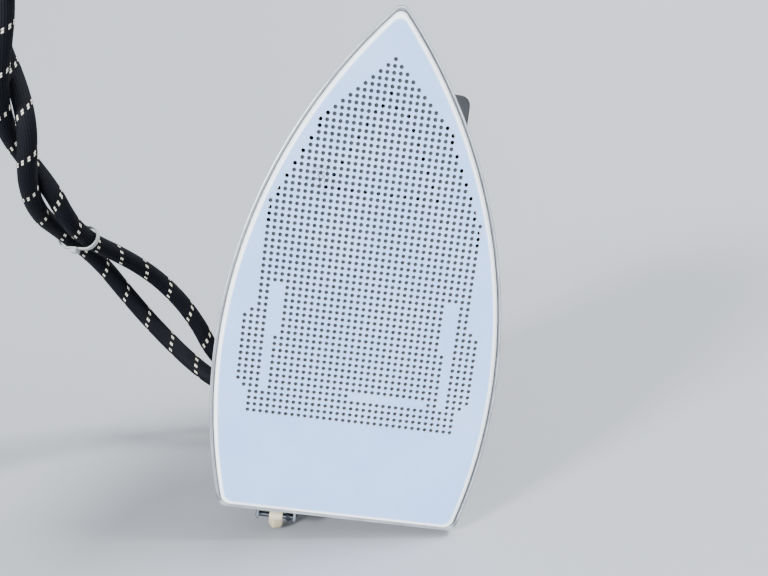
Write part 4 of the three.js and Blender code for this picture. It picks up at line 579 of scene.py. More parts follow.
# %% Shoe frame
def metal(name, low, high, roughness, stretch=(0.02, 0.02, 0.5), spread=0.08, depth=0.004):
    """Bare metal, metallic 1: tone and roughness vary in fine lines, stretched along the iron's axes."""
    material, tree, principled = new_material(name, high, roughness, 1.0)
    lines = add(tree, "TexNoise", {"Vector": iron_mm(tree, stretch), "Scale": 6.0, "Detail": 5.0})
    noise = lines.outputs["Fac"]
    tree.links.new(two_tone(tree, noise, low, high, 0.3, 0.7), principled.inputs["Base Color"])
    rough = between(tree, noise, roughness - spread, roughness + spread)
    tree.links.new(rough, principled.inputs["Roughness"])
    bump(tree, principled, noise, depth, 0.4)
    return material


def prism_body(outline, low, high, edge):
    """A flat outline carried upwards, its two ends drawn in towards its middle by a small chamfer."""
    middle = outline.mean(0)
    reach = np.linalg.norm(outline - middle, axis=1, keepdims=True)
    drawn = outline - (outline - middle) / reach * edge
    rows = [(drawn, low), (outline, low + edge), (outline, high - edge), (drawn, high)]
    return ring_body(np.array([at_height(flat, z) for flat, z in rows]))


RIM_SECTION = [  # height and inset, up the outside, over the top and down the inside
    (1.3, -1.9), (12.55, -1.9), (12.87, -1.77), (13, -1.45), (13, -0.8), (12.7, -0.45), (3.5, -0.45),
    (3.5, 4.5), (2.3, 4.5), (2.3, -0.3), (2.0, -0.4), (1.3, -0.9), (1.0, -1.12), (0.9, -1.35), (0.9, -1.6),
    (1.03, -1.8),
]
HEEL_LEDGE = 1.95  # the height of the rim's face along the heel, level with the plate's edge
HEEL_NEARER = 0.55  # the heel's wall stands this much closer to the plate than the sides' walls
HEEL_BAND, HEEL_FADE = 5, 4  # mm: the face starts to lower this far from the heel, and over this length
LATCH_PIN = (-125, 5)  # X and Z
LATCH_Y = -27
EAR_SPAN = 14.6
EAR_ROOT_X, EAR_LOW, EAR_HIGH, EAR_RADIUS = -121.775, 2.3, 9.5, 2.3
EAR_NEAR, EAR_FAR, SHEET_EDGE = 0.4, 1.5, 0.2  # the ear's two faces, and the chamfer of a cut sheet
TOE_LIP_X, TOE_CENTRE_X, TOE_LIP_OUT = 93.3, 93, -0.95
TOE_LIP_LOW, TOE_LIP_HIGH = 11.8, 12.98


def ear(y):
    """A latch ear: a rounded tongue of the sheet behind the frame's heel wall."""
    round_end = arc(*LATCH_PIN, EAR_RADIUS, np.pi / 2, 1.5 * np.pi, 14)
    tongue = np.vstack([[EAR_ROOT_X, EAR_HIGH], round_end, [EAR_ROOT_X, EAR_LOW]])
    points, faces = prism_body(tongue, -y - EAR_FAR, -y - EAR_NEAR, SHEET_EDGE)
    return points[:, [0, 2, 1]] * (1, -1, 1), faces


rim = np.array([at_height(sole_ring(inset, heel=HEEL_X + HEEL_NEARER * (inset < -1)), z)
                for z, inset in RIM_SECTION])
at_heel = np.clip((HEEL_X + HEEL_BAND - rim[..., 0]) / HEEL_FADE, 0, 1)
rim[..., 2] = np.maximum(rim[..., 2], HEEL_LEDGE * at_heel)
rim = loop_body(rim)
toe = sole_ring(TOE_LIP_OUT)
toe = toe[toe[:, 0] > TOE_LIP_X]
toe = toe[np.argsort(np.arctan2(toe[:, 1], toe[:, 0] - TOE_CENTRE_X))]
toe_lip = prism_body(toe, TOE_LIP_LOW, TOE_LIP_HIGH, SHEET_EDGE)
ears = [ear(LATCH_Y - EAR_SPAN / 2 - 2), ear(LATCH_Y + EAR_SPAN / 2)]
shoe_aluminium = metal("brushed_aluminium_sheet", "#8c9095", "#acafb3", 0.38)
new_piece("shoe_rim", *joined(rim, toe_lip, *ears), shoe_aluminium, stands_for=["shoe_frame"],
          slot="shoe_aluminium")

# %% [markdown]
# The other rigid pieces come in two kinds. Turned and lofted ones are made anew as smooth surfaces.
# Small flat-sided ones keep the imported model's mesh and get a fine bevel, which is how their edges are
# broken on the real iron.

# %% Boxes and turnings
LOFT_STEPS = 5
# Where the three axes of a shape that is built about Z go: each row is the image of one axis.
AXIS_TURNS = {
    "Z": [[1, 0, 0], [0, 1, 0], [0, 0, 1]],
    "X": [[0, 1, 0], [0, 0, 1], [1, 0, 0]],
    "-X": [[0, 0, 1], [0, 1, 0], [-1, 0, 0]],
    "-Y": [[1, 0, 0], [0, 0, 1], [0, -1, 0]],
}


def rounded_box(x0, x1, half, radius, steps=6):
    """A rectangle in X and Y, symmetrical about Y = 0, with quarter-circle corners."""
    quarter = np.pi / 2
    return np.vstack([arc(x1 - radius, half - radius, radius, 0, quarter, steps),
                      arc(x0 + radius, half - radius, radius, quarter, 2 * quarter, steps),
                      arc(x0 + radius, radius - half, radius, 2 * quarter, 3 * quarter, steps),
                      arc(x1 - radius, radius - half, radius, 3 * quarter, 4 * quarter, steps)])


def turned_body(profile, centre, axis="Z", sides=64, closed=True):
    """A body turned from (radius, height) pairs about an axis through centre. A closed profile is a sleeve;
    an open one starts and ends on the axis or in a flat face."""
    radius, height = np.asarray(profile, float).T
    angle = np.linspace(0, 2 * np.pi, sides, endpoint=False)
    rings = np.stack([radius[:, None] * np.cos(angle), radius[:, None] * np.sin(angle),
                      np.broadcast_to(height[:, None], (len(radius), sides))], -1)
    rings = rings @ np.array(AXIS_TURNS[axis], float) + np.array(centre)
    return loop_body(rings) if closed else ring_body(rings)


def rounded_profile(points, radius=0.4, steps=3):
    """Rounds each corner of a profile with a short quadratic curve that starts radius before the corner."""
    points = np.asarray(points, float)
    before, after = np.roll(points, 1, 0), np.roll(points, -1, 0)
    reach = [np.linalg.norm(other - points, axis=1, keepdims=True) for other in (before, after)]
    start = points + (before - points) / reach[0] * np.minimum(radius, reach[0] * 0.45)
    stop = points + (after - points) / reach[1] * np.minimum(radius, reach[1] * 0.45)
    t = np.linspace(0, 1, steps + 1)[None, :, None]
    curve = (1 - t) ** 2 * start[:, None] + 2 * t * (1 - t) * points[:, None] + t**2 * stop[:, None]
    return curve.reshape(-1, 2)


print("a turned body can point along", list(AXIS_TURNS))

# %% [markdown]
# Cork grip: a turned swell of pressed cork. The granules are a cell pattern of about 3 mm with dark
# joints, sanded flush, so they show in colour and only a little in relief.

# %% Cork grip
def pressed_cork():
    """Agglomerated cork, IOR 1.5, rough: tan granules of several tones in a darker binder."""
    material, tree, principled = new_material("pressed_cork", "#b48a5a", 0.85)
    place = iron_mm(tree)
    cell = add(tree, "TexVoronoi", {"Vector": place, "Scale": 0.36, "Randomness": 1.0})
    tone = add(tree, "SeparateXYZ", {"Vector": cell.outputs["Color"]}).outputs[0]
    granule = two_tone(tree, tone, "#a47c50", "#c7a278", 0.1, 0.9)
    joint = add(tree, "TexVoronoi", {"Vector": place, "Scale": 0.36, "Randomness": 1.0},
                feature="DISTANCE_TO_EDGE").outputs["Distance"]
    solid = add(tree, "MapRange", {"Value": joint, "From Min": 0.0, "From Max": 0.06}).outputs[0]
    pits = add(tree, "TexNoise", {"Vector": place, "Scale": 0.9, "Detail": 4.0}).outputs["Fac"]
    pit = add(tree, "MapRange", {"Value": pits, "From Min": 0.36, "From Max": 0.46}).outputs[0]
    fill = add(tree, "Math", {0: solid, 1: pit}, operation="MULTIPLY").outputs[0]
    colour = add(tree, "Mix", {"Factor": fill, "A": linear("#7d5a37"), "B": granule}, data_type="RGBA")
    tree.links.new(colour.outputs["Result"], principled.inputs["Base Color"])
    bump(tree, principled, fill, 0.12, 0.6)
    return material


HANDLE_Z = 112
GRIP = (-60.4, 36)
ROD_BORE = 4.35
GRIP_RADIUS, GRIP_SWELL, GRIP_ROUNDING = 15, 2.5, 1.2  # at the ends, added in the middle, at each end
long = GRIP[1] - GRIP[0]
share = np.linspace(0, 1, 40)
swell = np.column_stack([GRIP_RADIUS + GRIP_SWELL * np.sin(np.pi * share) ** 0.7,
                         GRIP_ROUNDING + share * (long - 2 * GRIP_ROUNDING)])
profile = np.vstack([[ROD_BORE, 0], [13.8, 0], [14.5, 0.25], [14.85, 0.7], swell, [14.85, long - 0.7],
                     [14.5, long - 0.25], [13.8, long], [ROD_BORE, long]])
new_piece("turned_cork_grip", *turned_body(profile, (GRIP[0], 0, HANDLE_Z), "X", 72), pressed_cork(),
          stands_for=["cork_grip"], slot="cork")

# %% [markdown]
# Collars, hose ferrule, gland, boot, lamp and feet are all turned from a profile. Zinc-plated steel is
# bright and smooth, and machined brass a little duller. Phenolic is hard, black and half glossy, and
# rubber is matt. The lamp and the feet end a hair off their axis, where a tiny flat face closes them.

# %% Turned fittings
MOULD_SPREAD = 0.06  # how far a moulding's roughness varies each way
MOULD_GRAIN = 2.0  # grains in a millimetre


def moulded(name, low, high, roughness, depth=0.03):
    """A moulded plastic or rubber, IOR 1.5: two close tones and a fine grain of this depth in mm."""
    material, tree, principled = new_material(name, high, roughness)
    place = iron_mm(tree)
    tone = add(tree, "TexNoise", {"Vector": place, "Scale": 0.08, "Detail": 4.0}).outputs["Fac"]
    tree.links.new(two_tone(tree, tone, low, high, 0.35, 0.65), principled.inputs["Base Color"])
    fine = add(tree, "TexNoise", {"Vector": place, "Scale": MOULD_GRAIN, "Detail": 2.0}).outputs["Fac"]
    rough = between(tree, fine, roughness - MOULD_SPREAD, roughness + MOULD_SPREAD)
    tree.links.new(rough, principled.inputs["Roughness"])
    bump(tree, principled, fine, depth, 0.5)
    return material


plated_steel = metal("zinc_plated_steel", "#a7abb0", "#c8cbd0", 0.26, (0.3, 0.3, 0.3), 0.05, 0.002)
brass = metal("machined_brass", "#b39a63", "#cdb884", 0.3, (0.4, 0.4, 0.4), 0.06, 0.002)
phenolic = moulded("moulded_phenolic", "#1d1e22", "#27282d", 0.42)
rubber = moulded("moulded_rubber", "#131314", "#1d1d1f", 0.78, depth=0.05)

GAP = 0.3  # mm between neighbours
COLLAR_RADIUS, COLLAR_WIDTH = 16.3, 3.4
COLLAR = rounded_profile([(ROD_BORE, 0), (COLLAR_RADIUS, 0), (COLLAR_RADIUS, COLLAR_WIDTH),
                          (ROD_BORE, COLLAR_WIDTH)], 1.0, 5)
for name, x in (("grip_collar_front", GRIP[1] + GAP), ("grip_collar_rear", GRIP[0] - GAP - COLLAR_WIDTH)):
    new_piece("turned_" + name, *turned_body(COLLAR, (x, 0, HANDLE_Z), "X"), plated_steel, stands_for=[name],
              slot="steel")

SIDE_Y = -25.3
HOSE_AT, CABLE_AT = (-94.5, 109), (-95.5, 88)  # X and Z
BORE = 4.75  # mm, the radius that a cord needs
FERRULE_OUT, NUT_OUT, BOOT_OUT = 14.1, 9.3, 2.5  # mm from the housing's side


def beside(at, out):
    """The place this far out from the housing's right side, at an X and a Z."""
    return at[0], SIDE_Y - out, at[1]


ferrule = rounded_profile([(BORE, 0), (6.75, 0), (6.75, 1.6), (6.1, 2.2), (6.1, 3.2), (6.75, 3.8),
                           (6.5, 5.2), (5.75, 6), (BORE, 6)], 0.35)
new_piece("turned_hose_ferrule", *turned_body(ferrule, beside(HOSE_AT, FERRULE_OUT), "-Y"),
          plated_steel, stands_for=["hose_ferrule"], slot="steel")
gland = rounded_profile([(BORE, -5.4), (5.6, -5.4), (5.6, 0), (7.2, 0), (7.2, 2.2), (BORE, 2.2)], 0.4)
new_piece("turned_cable_gland", *turned_body(gland, beside(CABLE_AT, 0), "-Y"), phenolic,
          stands_for=["cable_gland"], slot="black_plastic")
BOOT_RIB = [(6.9, 2), (6.7, 5.6), (6.1, 5.9), (6.0, 7.7)]
BOOT_TAPER, RIB_PITCH = 0.4, 6  # mm that each rib is slimmer and further out than the last
ribs = [(radius - BOOT_TAPER * i, z + RIB_PITCH * i) for i in range(3) for radius, z in BOOT_RIB]
boot = rounded_profile([(BORE, 0), (7, 0), *ribs, (5.35, 22), (BORE, 22)], 0.5)
new_piece("ribbed_cable_boot", *turned_body(boot, beside(CABLE_AT, BOOT_OUT), "-Y"), rubber,
          stands_for=["cable_boot"], slot="rubber")

foot = [(0.01, 0), (6.5, 0), (6.5, 1.75), (6.35, 2.2), (5.9, 2.75), (5.2, 3.2), (4.2, 3.55), (2.9, 3.79),
        (1.4, 3.88), (0.01, 3.9)]
FOOT_X, FOOT_Y, FOOT_Z = -106.3, 20, 106
for name, y in (("stand_foot_left", FOOT_Y), ("stand_foot_right", -FOOT_Y)):
    new_piece("domed_" + name, *turned_body(foot, (FOOT_X, y, FOOT_Z), "-X", closed=False), rubber,
              stands_for=[name], slot="rubber", crease=50)

lens = [(0.01, -6), (3.4, -6), (3.4, 0.3), (5, 0.3), (5, 2.2), (4.75, 2.9), (4.0, 3.95), (3.1, 4.6),
        (2, 5.0), (0.9, 5.17), (0.01, 5.2)]
amber, tree, principled = new_material("amber_acrylic", "#d9820f", 0.12, IOR=1.49, Transmission_Weight=0.55)
depth = add(tree, "TexNoise", {"Vector": iron_mm(tree), "Scale": 0.25}).outputs["Fac"]
tree.links.new(two_tone(tree, depth, "#c9720a", "#e9981d", 0.3, 0.7), principled.inputs["Base Color"])
LAMP_AT = (-44, 0, 60)
new_piece("lamp_lens", *turned_body(lens, LAMP_AT, closed=False, sides=48), amber,
          stands_for=["pilot_lamp"], slot="amber")

# %% [markdown]
# The skirt is drawn from sheet steel and stove-enamelled dark grey: near-flat sides, a wide shoulder and
# a flat top. The handle's post, the rear housing and its cover are moulded phenolic.

# %% Skirt, post and housing
SKIRT = (25.7, 60)  # mm, the heights of its foot and its top
SKIRT_INSET, SKIRT_MIDDLE = 5.5, -40
SPINDLE_HOLE = 4.3  # mm, its radius
SKIRT_STEPS = 7


def skirt_ring(long, wide, z):
    """The skirt's foot outline, shrunk along and across about a point near its middle."""
    foot = sole_ring(SKIRT_INSET, nose=26, corner=14, heel=-92 - SKIRT_INSET, steps=40)
    along = SKIRT_MIDDLE + (foot[:, 0] - SKIRT_MIDDLE) * long
    return at_height(np.column_stack([along, foot[:, 1] * wide]), z)


crown = [  # share of the height, and how long and how wide the skirt is there
    (0, 1, 1), (0.35, 0.98, 0.98), (0.66, 0.945, 0.905), (0.87, 0.905, 0.79), (0.98, 0.87, 0.66),
    (1, 0.85, 0.61),
]
skirt_rings = spline([skirt_ring(long, wide, SKIRT[0] + height * (SKIRT[1] - SKIRT[0]))
                      for height, long, wide in crown], SKIRT_STEPS)
skirt_rings[..., 2] = np.minimum(skirt_rings[..., 2], SKIRT[1])
# The flat top runs in to the hole for the dial's spindle, whose wall runs down to the foot again.
top_inner = skirt_ring(0.80, 0.55, SKIRT[1])
spindle_at = np.array(DIAL_PIVOT[:2])
away = top_inner[:, :2] - spindle_at
hole = spindle_at + SPINDLE_HOLE * away / np.linalg.norm(away, axis=1, keepdims=True)
skirt_rings = [*skirt_rings, top_inner, at_height(hole, SKIRT[1]), at_height(hole, SKIRT[0])]
enamel, tree, principled = new_material("baked_enamel_on_steel", "#3d4048", 0.34, 0.0, Coat_Weight=0.25)
place = iron_mm(tree)
peel = add(tree, "TexNoise", {"Vector": place, "Scale": 0.35, "Detail": 3.0}).outputs["Fac"]
tree.links.new(two_tone(tree, peel, "#3a3d45", "#454851", 0.3, 0.7), principled.inputs["Base Color"])
bump(tree, principled, peel, 0.03, 0.4)
new_piece("enamelled_skirt", *loop_body(np.array(skirt_rings)), enamel,
          stands_for=["skirt_cover"], slot="skirt_paint", crease=50)

post_sections = [(29.2, 49.5, 11.5, 5, 60.3), (29.2, 50.5, 10, 5, 65.3), (37.2, 54, 8, 5, 76.3),
                 (40.7, 57, 8, 5, 86.3), (40.5, 59.5, 11, 6, 95), (40, 60, 12, 6, 100), (40, 60, 12, 6, 120),
                 (40.5, 59.5, 11.5, 6, 122.5), (42, 57, 9, 6, 125.5)]
post = spline([at_height(rounded_box(x0, x1, half, radius - 0.01), z)
               for x0, x1, half, radius, z in post_sections], LOFT_STEPS)
new_piece("moulded_front_post", *ring_body(post), phenolic, stands_for=["front_post"], slot="black_plastic",
          crease=50)

REAR, FRONT, WIDE, TOP = -106, -64.5, 25, 130
SPLIT_X = -103.5  # where the cover meets the housing
housing_sections = [(REAR + 22, FRONT + 2.5, WIDE - 8, 6, 60.3), (REAR + 18, FRONT + 1, WIDE - 5, 7, 70.3),
                    (REAR + 9, FRONT, WIDE, 8, 78.3), (REAR + 2, FRONT, WIDE, 8, 84.3),
                    (REAR, FRONT, WIDE, 8, 92.3), (REAR, FRONT, WIDE, 8, TOP - 10),
                    (REAR + 0.8, FRONT - 0.5, WIDE - 0.8, 8, TOP - 6),
                    (REAR + 3, FRONT - 2.5, WIDE - 3, 8, TOP - 2.4),
                    (REAR + 7, FRONT - 6, WIDE - 7, 7, TOP - 0.5),
                    (REAR + 10, FRONT - 9, WIDE - 10, 6, TOP)]
shape = spline([at_height(rounded_box(x0, x1, half, radius), z)
                for x0, x1, half, radius, z in housing_sections], LOFT_STEPS)
housing, cover = shape.copy(), shape.copy()
housing[..., 0] = np.maximum(housing[..., 0], SPLIT_X)
cover[..., 0] = np.minimum(cover[..., 0], SPLIT_X - GAP)
new_piece("moulded_rear_housing", *ring_body(housing), phenolic, stands_for=["rear_housing"],
          slot="black_plastic")
cover = cover[(shape[..., 0] < SPLIT_X - GAP).any(1)]
new_piece("moulded_rear_cover", *ring_body(cover), phenolic, stands_for=["rear_cover"], slot="black_plastic")

# %% [markdown]
# The dial is a moulded knob that turns on its spindle: eighteen shallow flutes, a domed edge and a
# raised bar that points to the setting.

# %% Dial
DIAL_RADIUS, DIAL_FOOT_Z, BAR_FOOT_Z = 20, 60.7, 60.1
FLUTES, FLUTE_DEPTH = 18, 1.3
DIAL_SECTION = [  # share of the radius, height and share of the flutes' depth
    (0.92, 0, 0.4), (0.96, 0.25, 0.8), (1, 1.2, 1), (0.985, 5, 1), (0.96, 8.4, 0.95), (0.93, 9.4, 0.7),
    (0.885, 9.92, 0.3), (0.84, 10, 0),
]


def dial_body():
    """Rings whose radius is s (R - f d max(0, -cos n a)^1.5): the section's share s of the dial's radius R,
    drawn in by n flutes of depth d, which fade at the top with f."""
    angle = np.linspace(0, 2 * np.pi, 12 * FLUTES, endpoint=False)
    scale, height, flute = np.array(DIAL_SECTION).T[..., None]
    radius = scale * (DIAL_RADIUS - flute * FLUTE_DEPTH * np.clip(-np.cos(FLUTES * angle), 0, 1) ** 1.5)
    rings = np.stack([radius * np.cos(angle), radius * np.sin(angle),
                      np.broadcast_to(DIAL_FOOT_Z + height, radius.shape)], -1)
    return ring_body(rings + np.array([DIAL_PIVOT[0], 0, 0]))


def pointer_body():
    """The raised bar: a stadium with a rounded top edge, drawn in by cut at each height."""
    levels = [(0, 9.0), (0, 12.0), (0.15, 12.6), (0.5, 13.0), (1.1, 13.1)]
    rings = [at_height(rounded_box(-8 + cut, 24 - cut, 3 - cut, 2.9 - cut, 8), BAR_FOOT_Z + z)
             for cut, z in levels]
    return ring_body(np.array(rings))


new_piece("moulded_dial", *joined(dial_body(), pointer_body()), phenolic, body="dial",
          stands_for=["thermostat_dial"], slot="black_plastic", crease=50)

# %% [markdown]
# The steam pipe is drawn tube, bent sideways and forwards between its two straight ends.

# %% Pipe
PIPE_RADIUS = 3.5  # mm
PIPE_FOOT = np.array([-101, -26, SKIRT[0] + PIPE_RADIUS + 0.4])
PIPE_TOP = np.array([-80, SIDE_Y - 5, 101])
PIPE_END_Z = 105  # inside the steam block
shares = [[0, 0, 0], [0, 0, 0.057], [0, 0, 0.14], [0.1, 0.23, 0.34], [0.476, 1, 0.565], [0.95, 1, 0.76],
          [1, 1, 0.875], [1, 1, 0.96]]
pipe_route = np.vstack([PIPE_FOOT + np.array(shares) * (PIPE_TOP - PIPE_FOOT), [*PIPE_TOP[:2], PIPE_END_Z]])
pipe_line, _ = smooth_line(pipe_route, 1.5)
pipe_rings = tube_rings(pipe_line, PIPE_RADIUS, 32, (0.2, 1, 0.1))
new_piece("bent_steam_pipe", *ring_body(pipe_rings), plated_steel,
          stands_for=["steam_pipe"], slot="steel")

# %% [markdown]
# The domed nut at the front closes the handle rod: a hexagon that runs out into a ball, turned bright.
# The hose's nut is brass. A hexagon and a circle can be joined ring by ring, because both are a radius
# that depends on the angle.

# %% Nuts
def nut_body(profile, flats, centre, axis, bore=None, sides=96):
    """Rings from (radius, height, share) triples. A share of 0 is a circle, and 1 is a hexagon whose flats
    are f from the axis and whose radius at angle a is f / cos(a mod 60 degrees - 30 degrees)."""
    angle = np.linspace(0, 2 * np.pi, sides, endpoint=False)
    hexagon = flats / np.cos((angle % (np.pi / 3)) - np.pi / 6)
    radius, height, share = (np.array(part, float)[:, None] for part in zip(*profile))
    radius = np.minimum(radius, hexagon) * share + radius * (1 - share)
    rings = np.stack([radius * np.cos(angle), radius * np.sin(angle),
                      np.broadcast_to(height, radius.shape)], -1)
    if bore:
        inner = [at_height(bore * np.column_stack([np.cos(angle), np.sin(angle)]), rings[i, 0, 2])
                 for i in (-1, 0)]
        rings = np.concatenate([rings, inner])
    rings = rings @ np.array(AXIS_TURNS[axis], float) + np.array(centre)
    return loop_body(rings) if bore else ring_body(rings)


BALL_RADIUS, BALL_FOOT, BALL_RISE = 6.2, 4.3, 5.6
NUT_FLATS, FRONT_NUT_X = 6.5, 60.35  # the flats are measured from the axis
dome = [(6.6, 0, 1), (7.4, 0.5, 1), (7.4, 3.6, 1), (6.75, 4.2, 1), (BALL_RADIUS, BALL_FOOT, 0)]
dome += [(BALL_RADIUS * math.cos(angle), BALL_FOOT + BALL_RISE * math.sin(angle), 0)
         for angle in np.linspace(0.12, 1.5, 9)]
new_piece("domed_front_nut", *nut_body(dome, NUT_FLATS, (FRONT_NUT_X, 0, HANDLE_Z), "X"), plated_steel,
          stands_for=["handle_nut_front"], slot="steel")
HOSE_NUT_FLATS = 7.28
hose_nut = [(7.3, 0, 1), (8.35, 0.5, 1), (8.35, 4.0, 1), (7.3, 4.5, 1)]
new_piece("hexagon_hose_nut", *nut_body(hose_nut, HOSE_NUT_FLATS, beside(HOSE_AT, NUT_OUT), "-Y", BORE),
          brass, stands_for=["hose_nut"], slot="brass")

# %% [markdown]
# The latch is a small nylon peg, square and turned on its corner, that swings on a steel pin between the
# frame's two ears. A wound spring holds it shut.

# %% Latch
def diamond(half, steps=3, corner=0.7):
    """A square on its corner, each corner rounded by a quarter of a circle."""
    reach = half - corner * math.sqrt(2)
    eighth = np.pi / 4
    corners = [(turn, reach * math.cos(turn), reach * math.sin(turn)) for turn in np.arange(4) * np.pi / 2]
    return np.vstack([arc(x, y, corner, turn - eighth, turn + eighth, steps) for turn, x, y in corners])


PEG_Y, PEG_Z = -27.1, 7.4
PEG_TURN = math.radians(-15)
KNUCKLE_BORE, KNUCKLE_RADIUS, KNUCKLE_WIDTH = 1.35, 2.4, 6
PEG_SECTIONS = [  # half the width across the corners, and the place along the peg
    (3.1, 2.7), (3.6, 2.2), (3.6, -5), (3.1, -5.9), (2.2, -6.7), (1.1, -7.1),
]
peg = np.array([at_height(diamond(half), x) for half, x in PEG_SECTIONS])
turned = np.array([[0, math.cos(PEG_TURN), math.sin(PEG_TURN)],
                   [0, -math.sin(PEG_TURN), math.cos(PEG_TURN)], [1, 0, 0]])
peg = (peg @ turned + (LATCH_PIN[0], PEG_Y, PEG_Z))[::-1]
knuckle = rounded_profile([(KNUCKLE_BORE, 0), (KNUCKLE_RADIUS, 0), (KNUCKLE_RADIUS, KNUCKLE_WIDTH),
                           (KNUCKLE_BORE, KNUCKLE_WIDTH)], 0.4)
knuckle = turned_body(knuckle, (LATCH_PIN[0], PEG_Y + KNUCKLE_WIDTH / 2, LATCH_PIN[1]), "-Y", 40)
nylon = moulded("moulded_nylon", "#9f9778", "#bdb598", 0.5, depth=0.02)
new_piece("nylon_latch_peg", *joined(ring_body(peg), knuckle), nylon, body="latch", stands_for=["latch_tab"],
          slot="nylon")

# %% [markdown]
# The cable tie is a strap 2.4 mm wide in a loop round both cords, with its small head on one side. The
# loop is a stadium: half a circle round each cord and straight between them.

# %% Cable tie
TIE_THICKNESS, TIE_WIDTH = 0.8, 2.4  # mm
TIE_CLEAR = 1.35  # mm from a cord's surface to the middle of the strap
TIE_POINTS = 25
TIE_HEAD = [(1.6, 1.0), (2.0, 1.3), (2.0, 3.4), (1.6, 3.8)]  # half the width, and the height over the cords


def tie_body(hose_at, cable_at, along):
    """A rounded strap section carried round the stadium. The frame is across from hose to cable, up from
    the cross product, and along the cords."""
    across = cable_at - hose_at
    across = across - along * (across @ along)
    spacing = np.linalg.norm(across)
    across = across / spacing
    up = np.cross(along, across)
    middle = CORD_RADIUS + TIE_CLEAR
    half_turn = np.linspace(np.pi / 2, 1.5 * np.pi, TIE_POINTS)
    centre = np.repeat([0, spacing], TIE_POINTS)
    angle = np.concatenate([half_turn, half_turn + np.pi])
    normal = np.stack([np.cos(angle), np.sin(angle)], -1)
    thick, wide = TIE_THICKNESS / 2, TIE_WIDTH / 2
    section = rounded_profile([(-thick, -wide), (-thick, wide), (thick, wide), (thick, -wide)], 0.3, 3)
    flat = np.column_stack([centre, np.zeros(2 * TIE_POINTS)])[:, None]
    flat = flat + normal[:, None] * (middle + section[None, :, :1])
    strap = (hose_at + flat[..., :1] * across + flat[..., 1:] * up + section[None, :, 1:] * along)
    corner = rounded_box(-1, 1, 1, 0.25, 3)
    sideways = corner[:, :1] * across - corner[:, 1:] * along
    head = np.array([hose_at + across * spacing / 2 + sideways * half + up * (CORD_RADIUS + height)
                     for half, height in TIE_HEAD])
    return joined(loop_body(strap), ring_body(head))


TIE_AT = (144.1, 156.7)  # mm along the hose and along the cable
hose_spot, cable_spot = (line[round(at / CORD_STEP)] for line, at in zip((hose_line, cable_line), TIE_AT))
ring = int(TIE_AT[0] / CORD_STEP)
along_hose = hose_line[ring + 1] - hose_line[ring - 1]
along_hose = along_hose / np.linalg.norm(along_hose)
tie_nylon = moulded("grey_nylon_strap", "#8f918f", "#a9aba8", 0.4, depth=0.01)
tie = new_piece("grey_cable_tie", *tie_body(hose_spot, cable_spot, along_hose), tie_nylon,
                stands_for=["cable_tie"], slot="tie_plastic")

# %% [markdown]
# Every other node keeps the imported model's mesh. A stack of modifiers welds its loose triangles, breaks
# the sharp edges with a small bevel and shades it smooth below an angle, so nothing is faceted. The sole's
# casting is bare where it is machined outside. Below a height that the shoe's wall hides, it is painted
# near-black, as painted shade that makes its vents look dark.

# %% Finish of the imported nodes
SMOOTH_BELOW = 0.62  # radians between two faces
WELD_WITHIN = 1e-6  # m
BEVEL_OVER = math.radians(38)


def smooth_by_angle(limit):
    """A node group that shades every face smooth and keeps an edge sharp where its angle is over the
    limit."""
    group = bpy.data.node_groups.new("smooth_by_angle", "GeometryNodeTree")
    for direction in ("INPUT", "OUTPUT"):
        group.interface.new_socket("Geometry", in_out=direction, socket_type="NodeSocketGeometry")
    start, stop = group.nodes.new("NodeGroupInput"), group.nodes.new("NodeGroupOutput")
    angle = group.nodes.new("GeometryNodeInputMeshEdgeAngle")
    small = group.nodes.new("FunctionNodeCompare")
    small.operation = "LESS_THAN"
    small.inputs[1].default_value = limit
    faces, edges = (group.nodes.new("GeometryNodeSetShadeSmooth") for _ in range(2))
    edges.domain = "EDGE"
    group.links.new(angle.outputs["Unsigned Angle"], small.inputs[0])
    group.links.new(start.outputs[0], faces.inputs["Geometry"])
    group.links.new(faces.outputs[0], edges.inputs["Geometry"])
    group.links.new(small.outputs[0], edges.inputs["Shade Smooth"])
    group.links.new(edges.outputs[0], stop.inputs[0])
    return group


SMOOTH = smooth_by_angle(SMOOTH_BELOW)


def finish_node(name, material, edge):
    """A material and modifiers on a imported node. edge is the bevel in mm, and 0 leaves its edges as they
    are."""
    node = frame["nodes"][name]
    for slot in node.material_slots:
        slot.material = material
    weld = node.modifiers.new("weld", "WELD")
    weld.merge_threshold = WELD_WITHIN
    if edge:
        bevel = node.modifiers.new("broken_edges", "BEVEL")
        bevel.width = edge / MM_PER_M
        bevel.segments = 2
        bevel.limit_method = "ANGLE"
        bevel.angle_limit = BEVEL_OVER
    node.modifiers.new("smooth", "NODES").node_group = SMOOTH


# Painted shade: the casting is near-black below the first height and its own grey above the second.
SHADED_BELOW, UNSHADED_ABOVE = 9.0, 12.0  # mm above the sole


def sole_casting():
    """Machined cast aluminium, metallic 1. Below a height that the shoe's wall hides it is painted
    near-black, as painted shade that makes the vents look dark, and the shade fades out above that height."""
    material = metal("machined_cast_aluminium", "#8f9296", "#a9acb0", 0.4, (0.3, 0.3, 0.3), 0.08, 0.006)
    tree = material.node_tree
    base = tree.nodes["Principled BSDF"].inputs["Base Color"]
    unshaded_colour = base.links[0].from_socket
    height = add(tree, "SeparateXYZ", {"Vector": iron_mm(tree)}).outputs[2]
    share = add(tree, "MapRange", {"Value": height, "From Min": SHADED_BELOW, "From Max": UNSHADED_ABOVE})
    # Painted shade: near-black #222427 below the lower height.
    painted_vent_shade = {"Factor": share.outputs[0], "A": linear("#222427"), "B": unshaded_colour}
    colour = add(tree, "Mix", painted_vent_shade, data_type="RGBA")
    tree.links.new(colour.outputs["Result"], base)
    return material


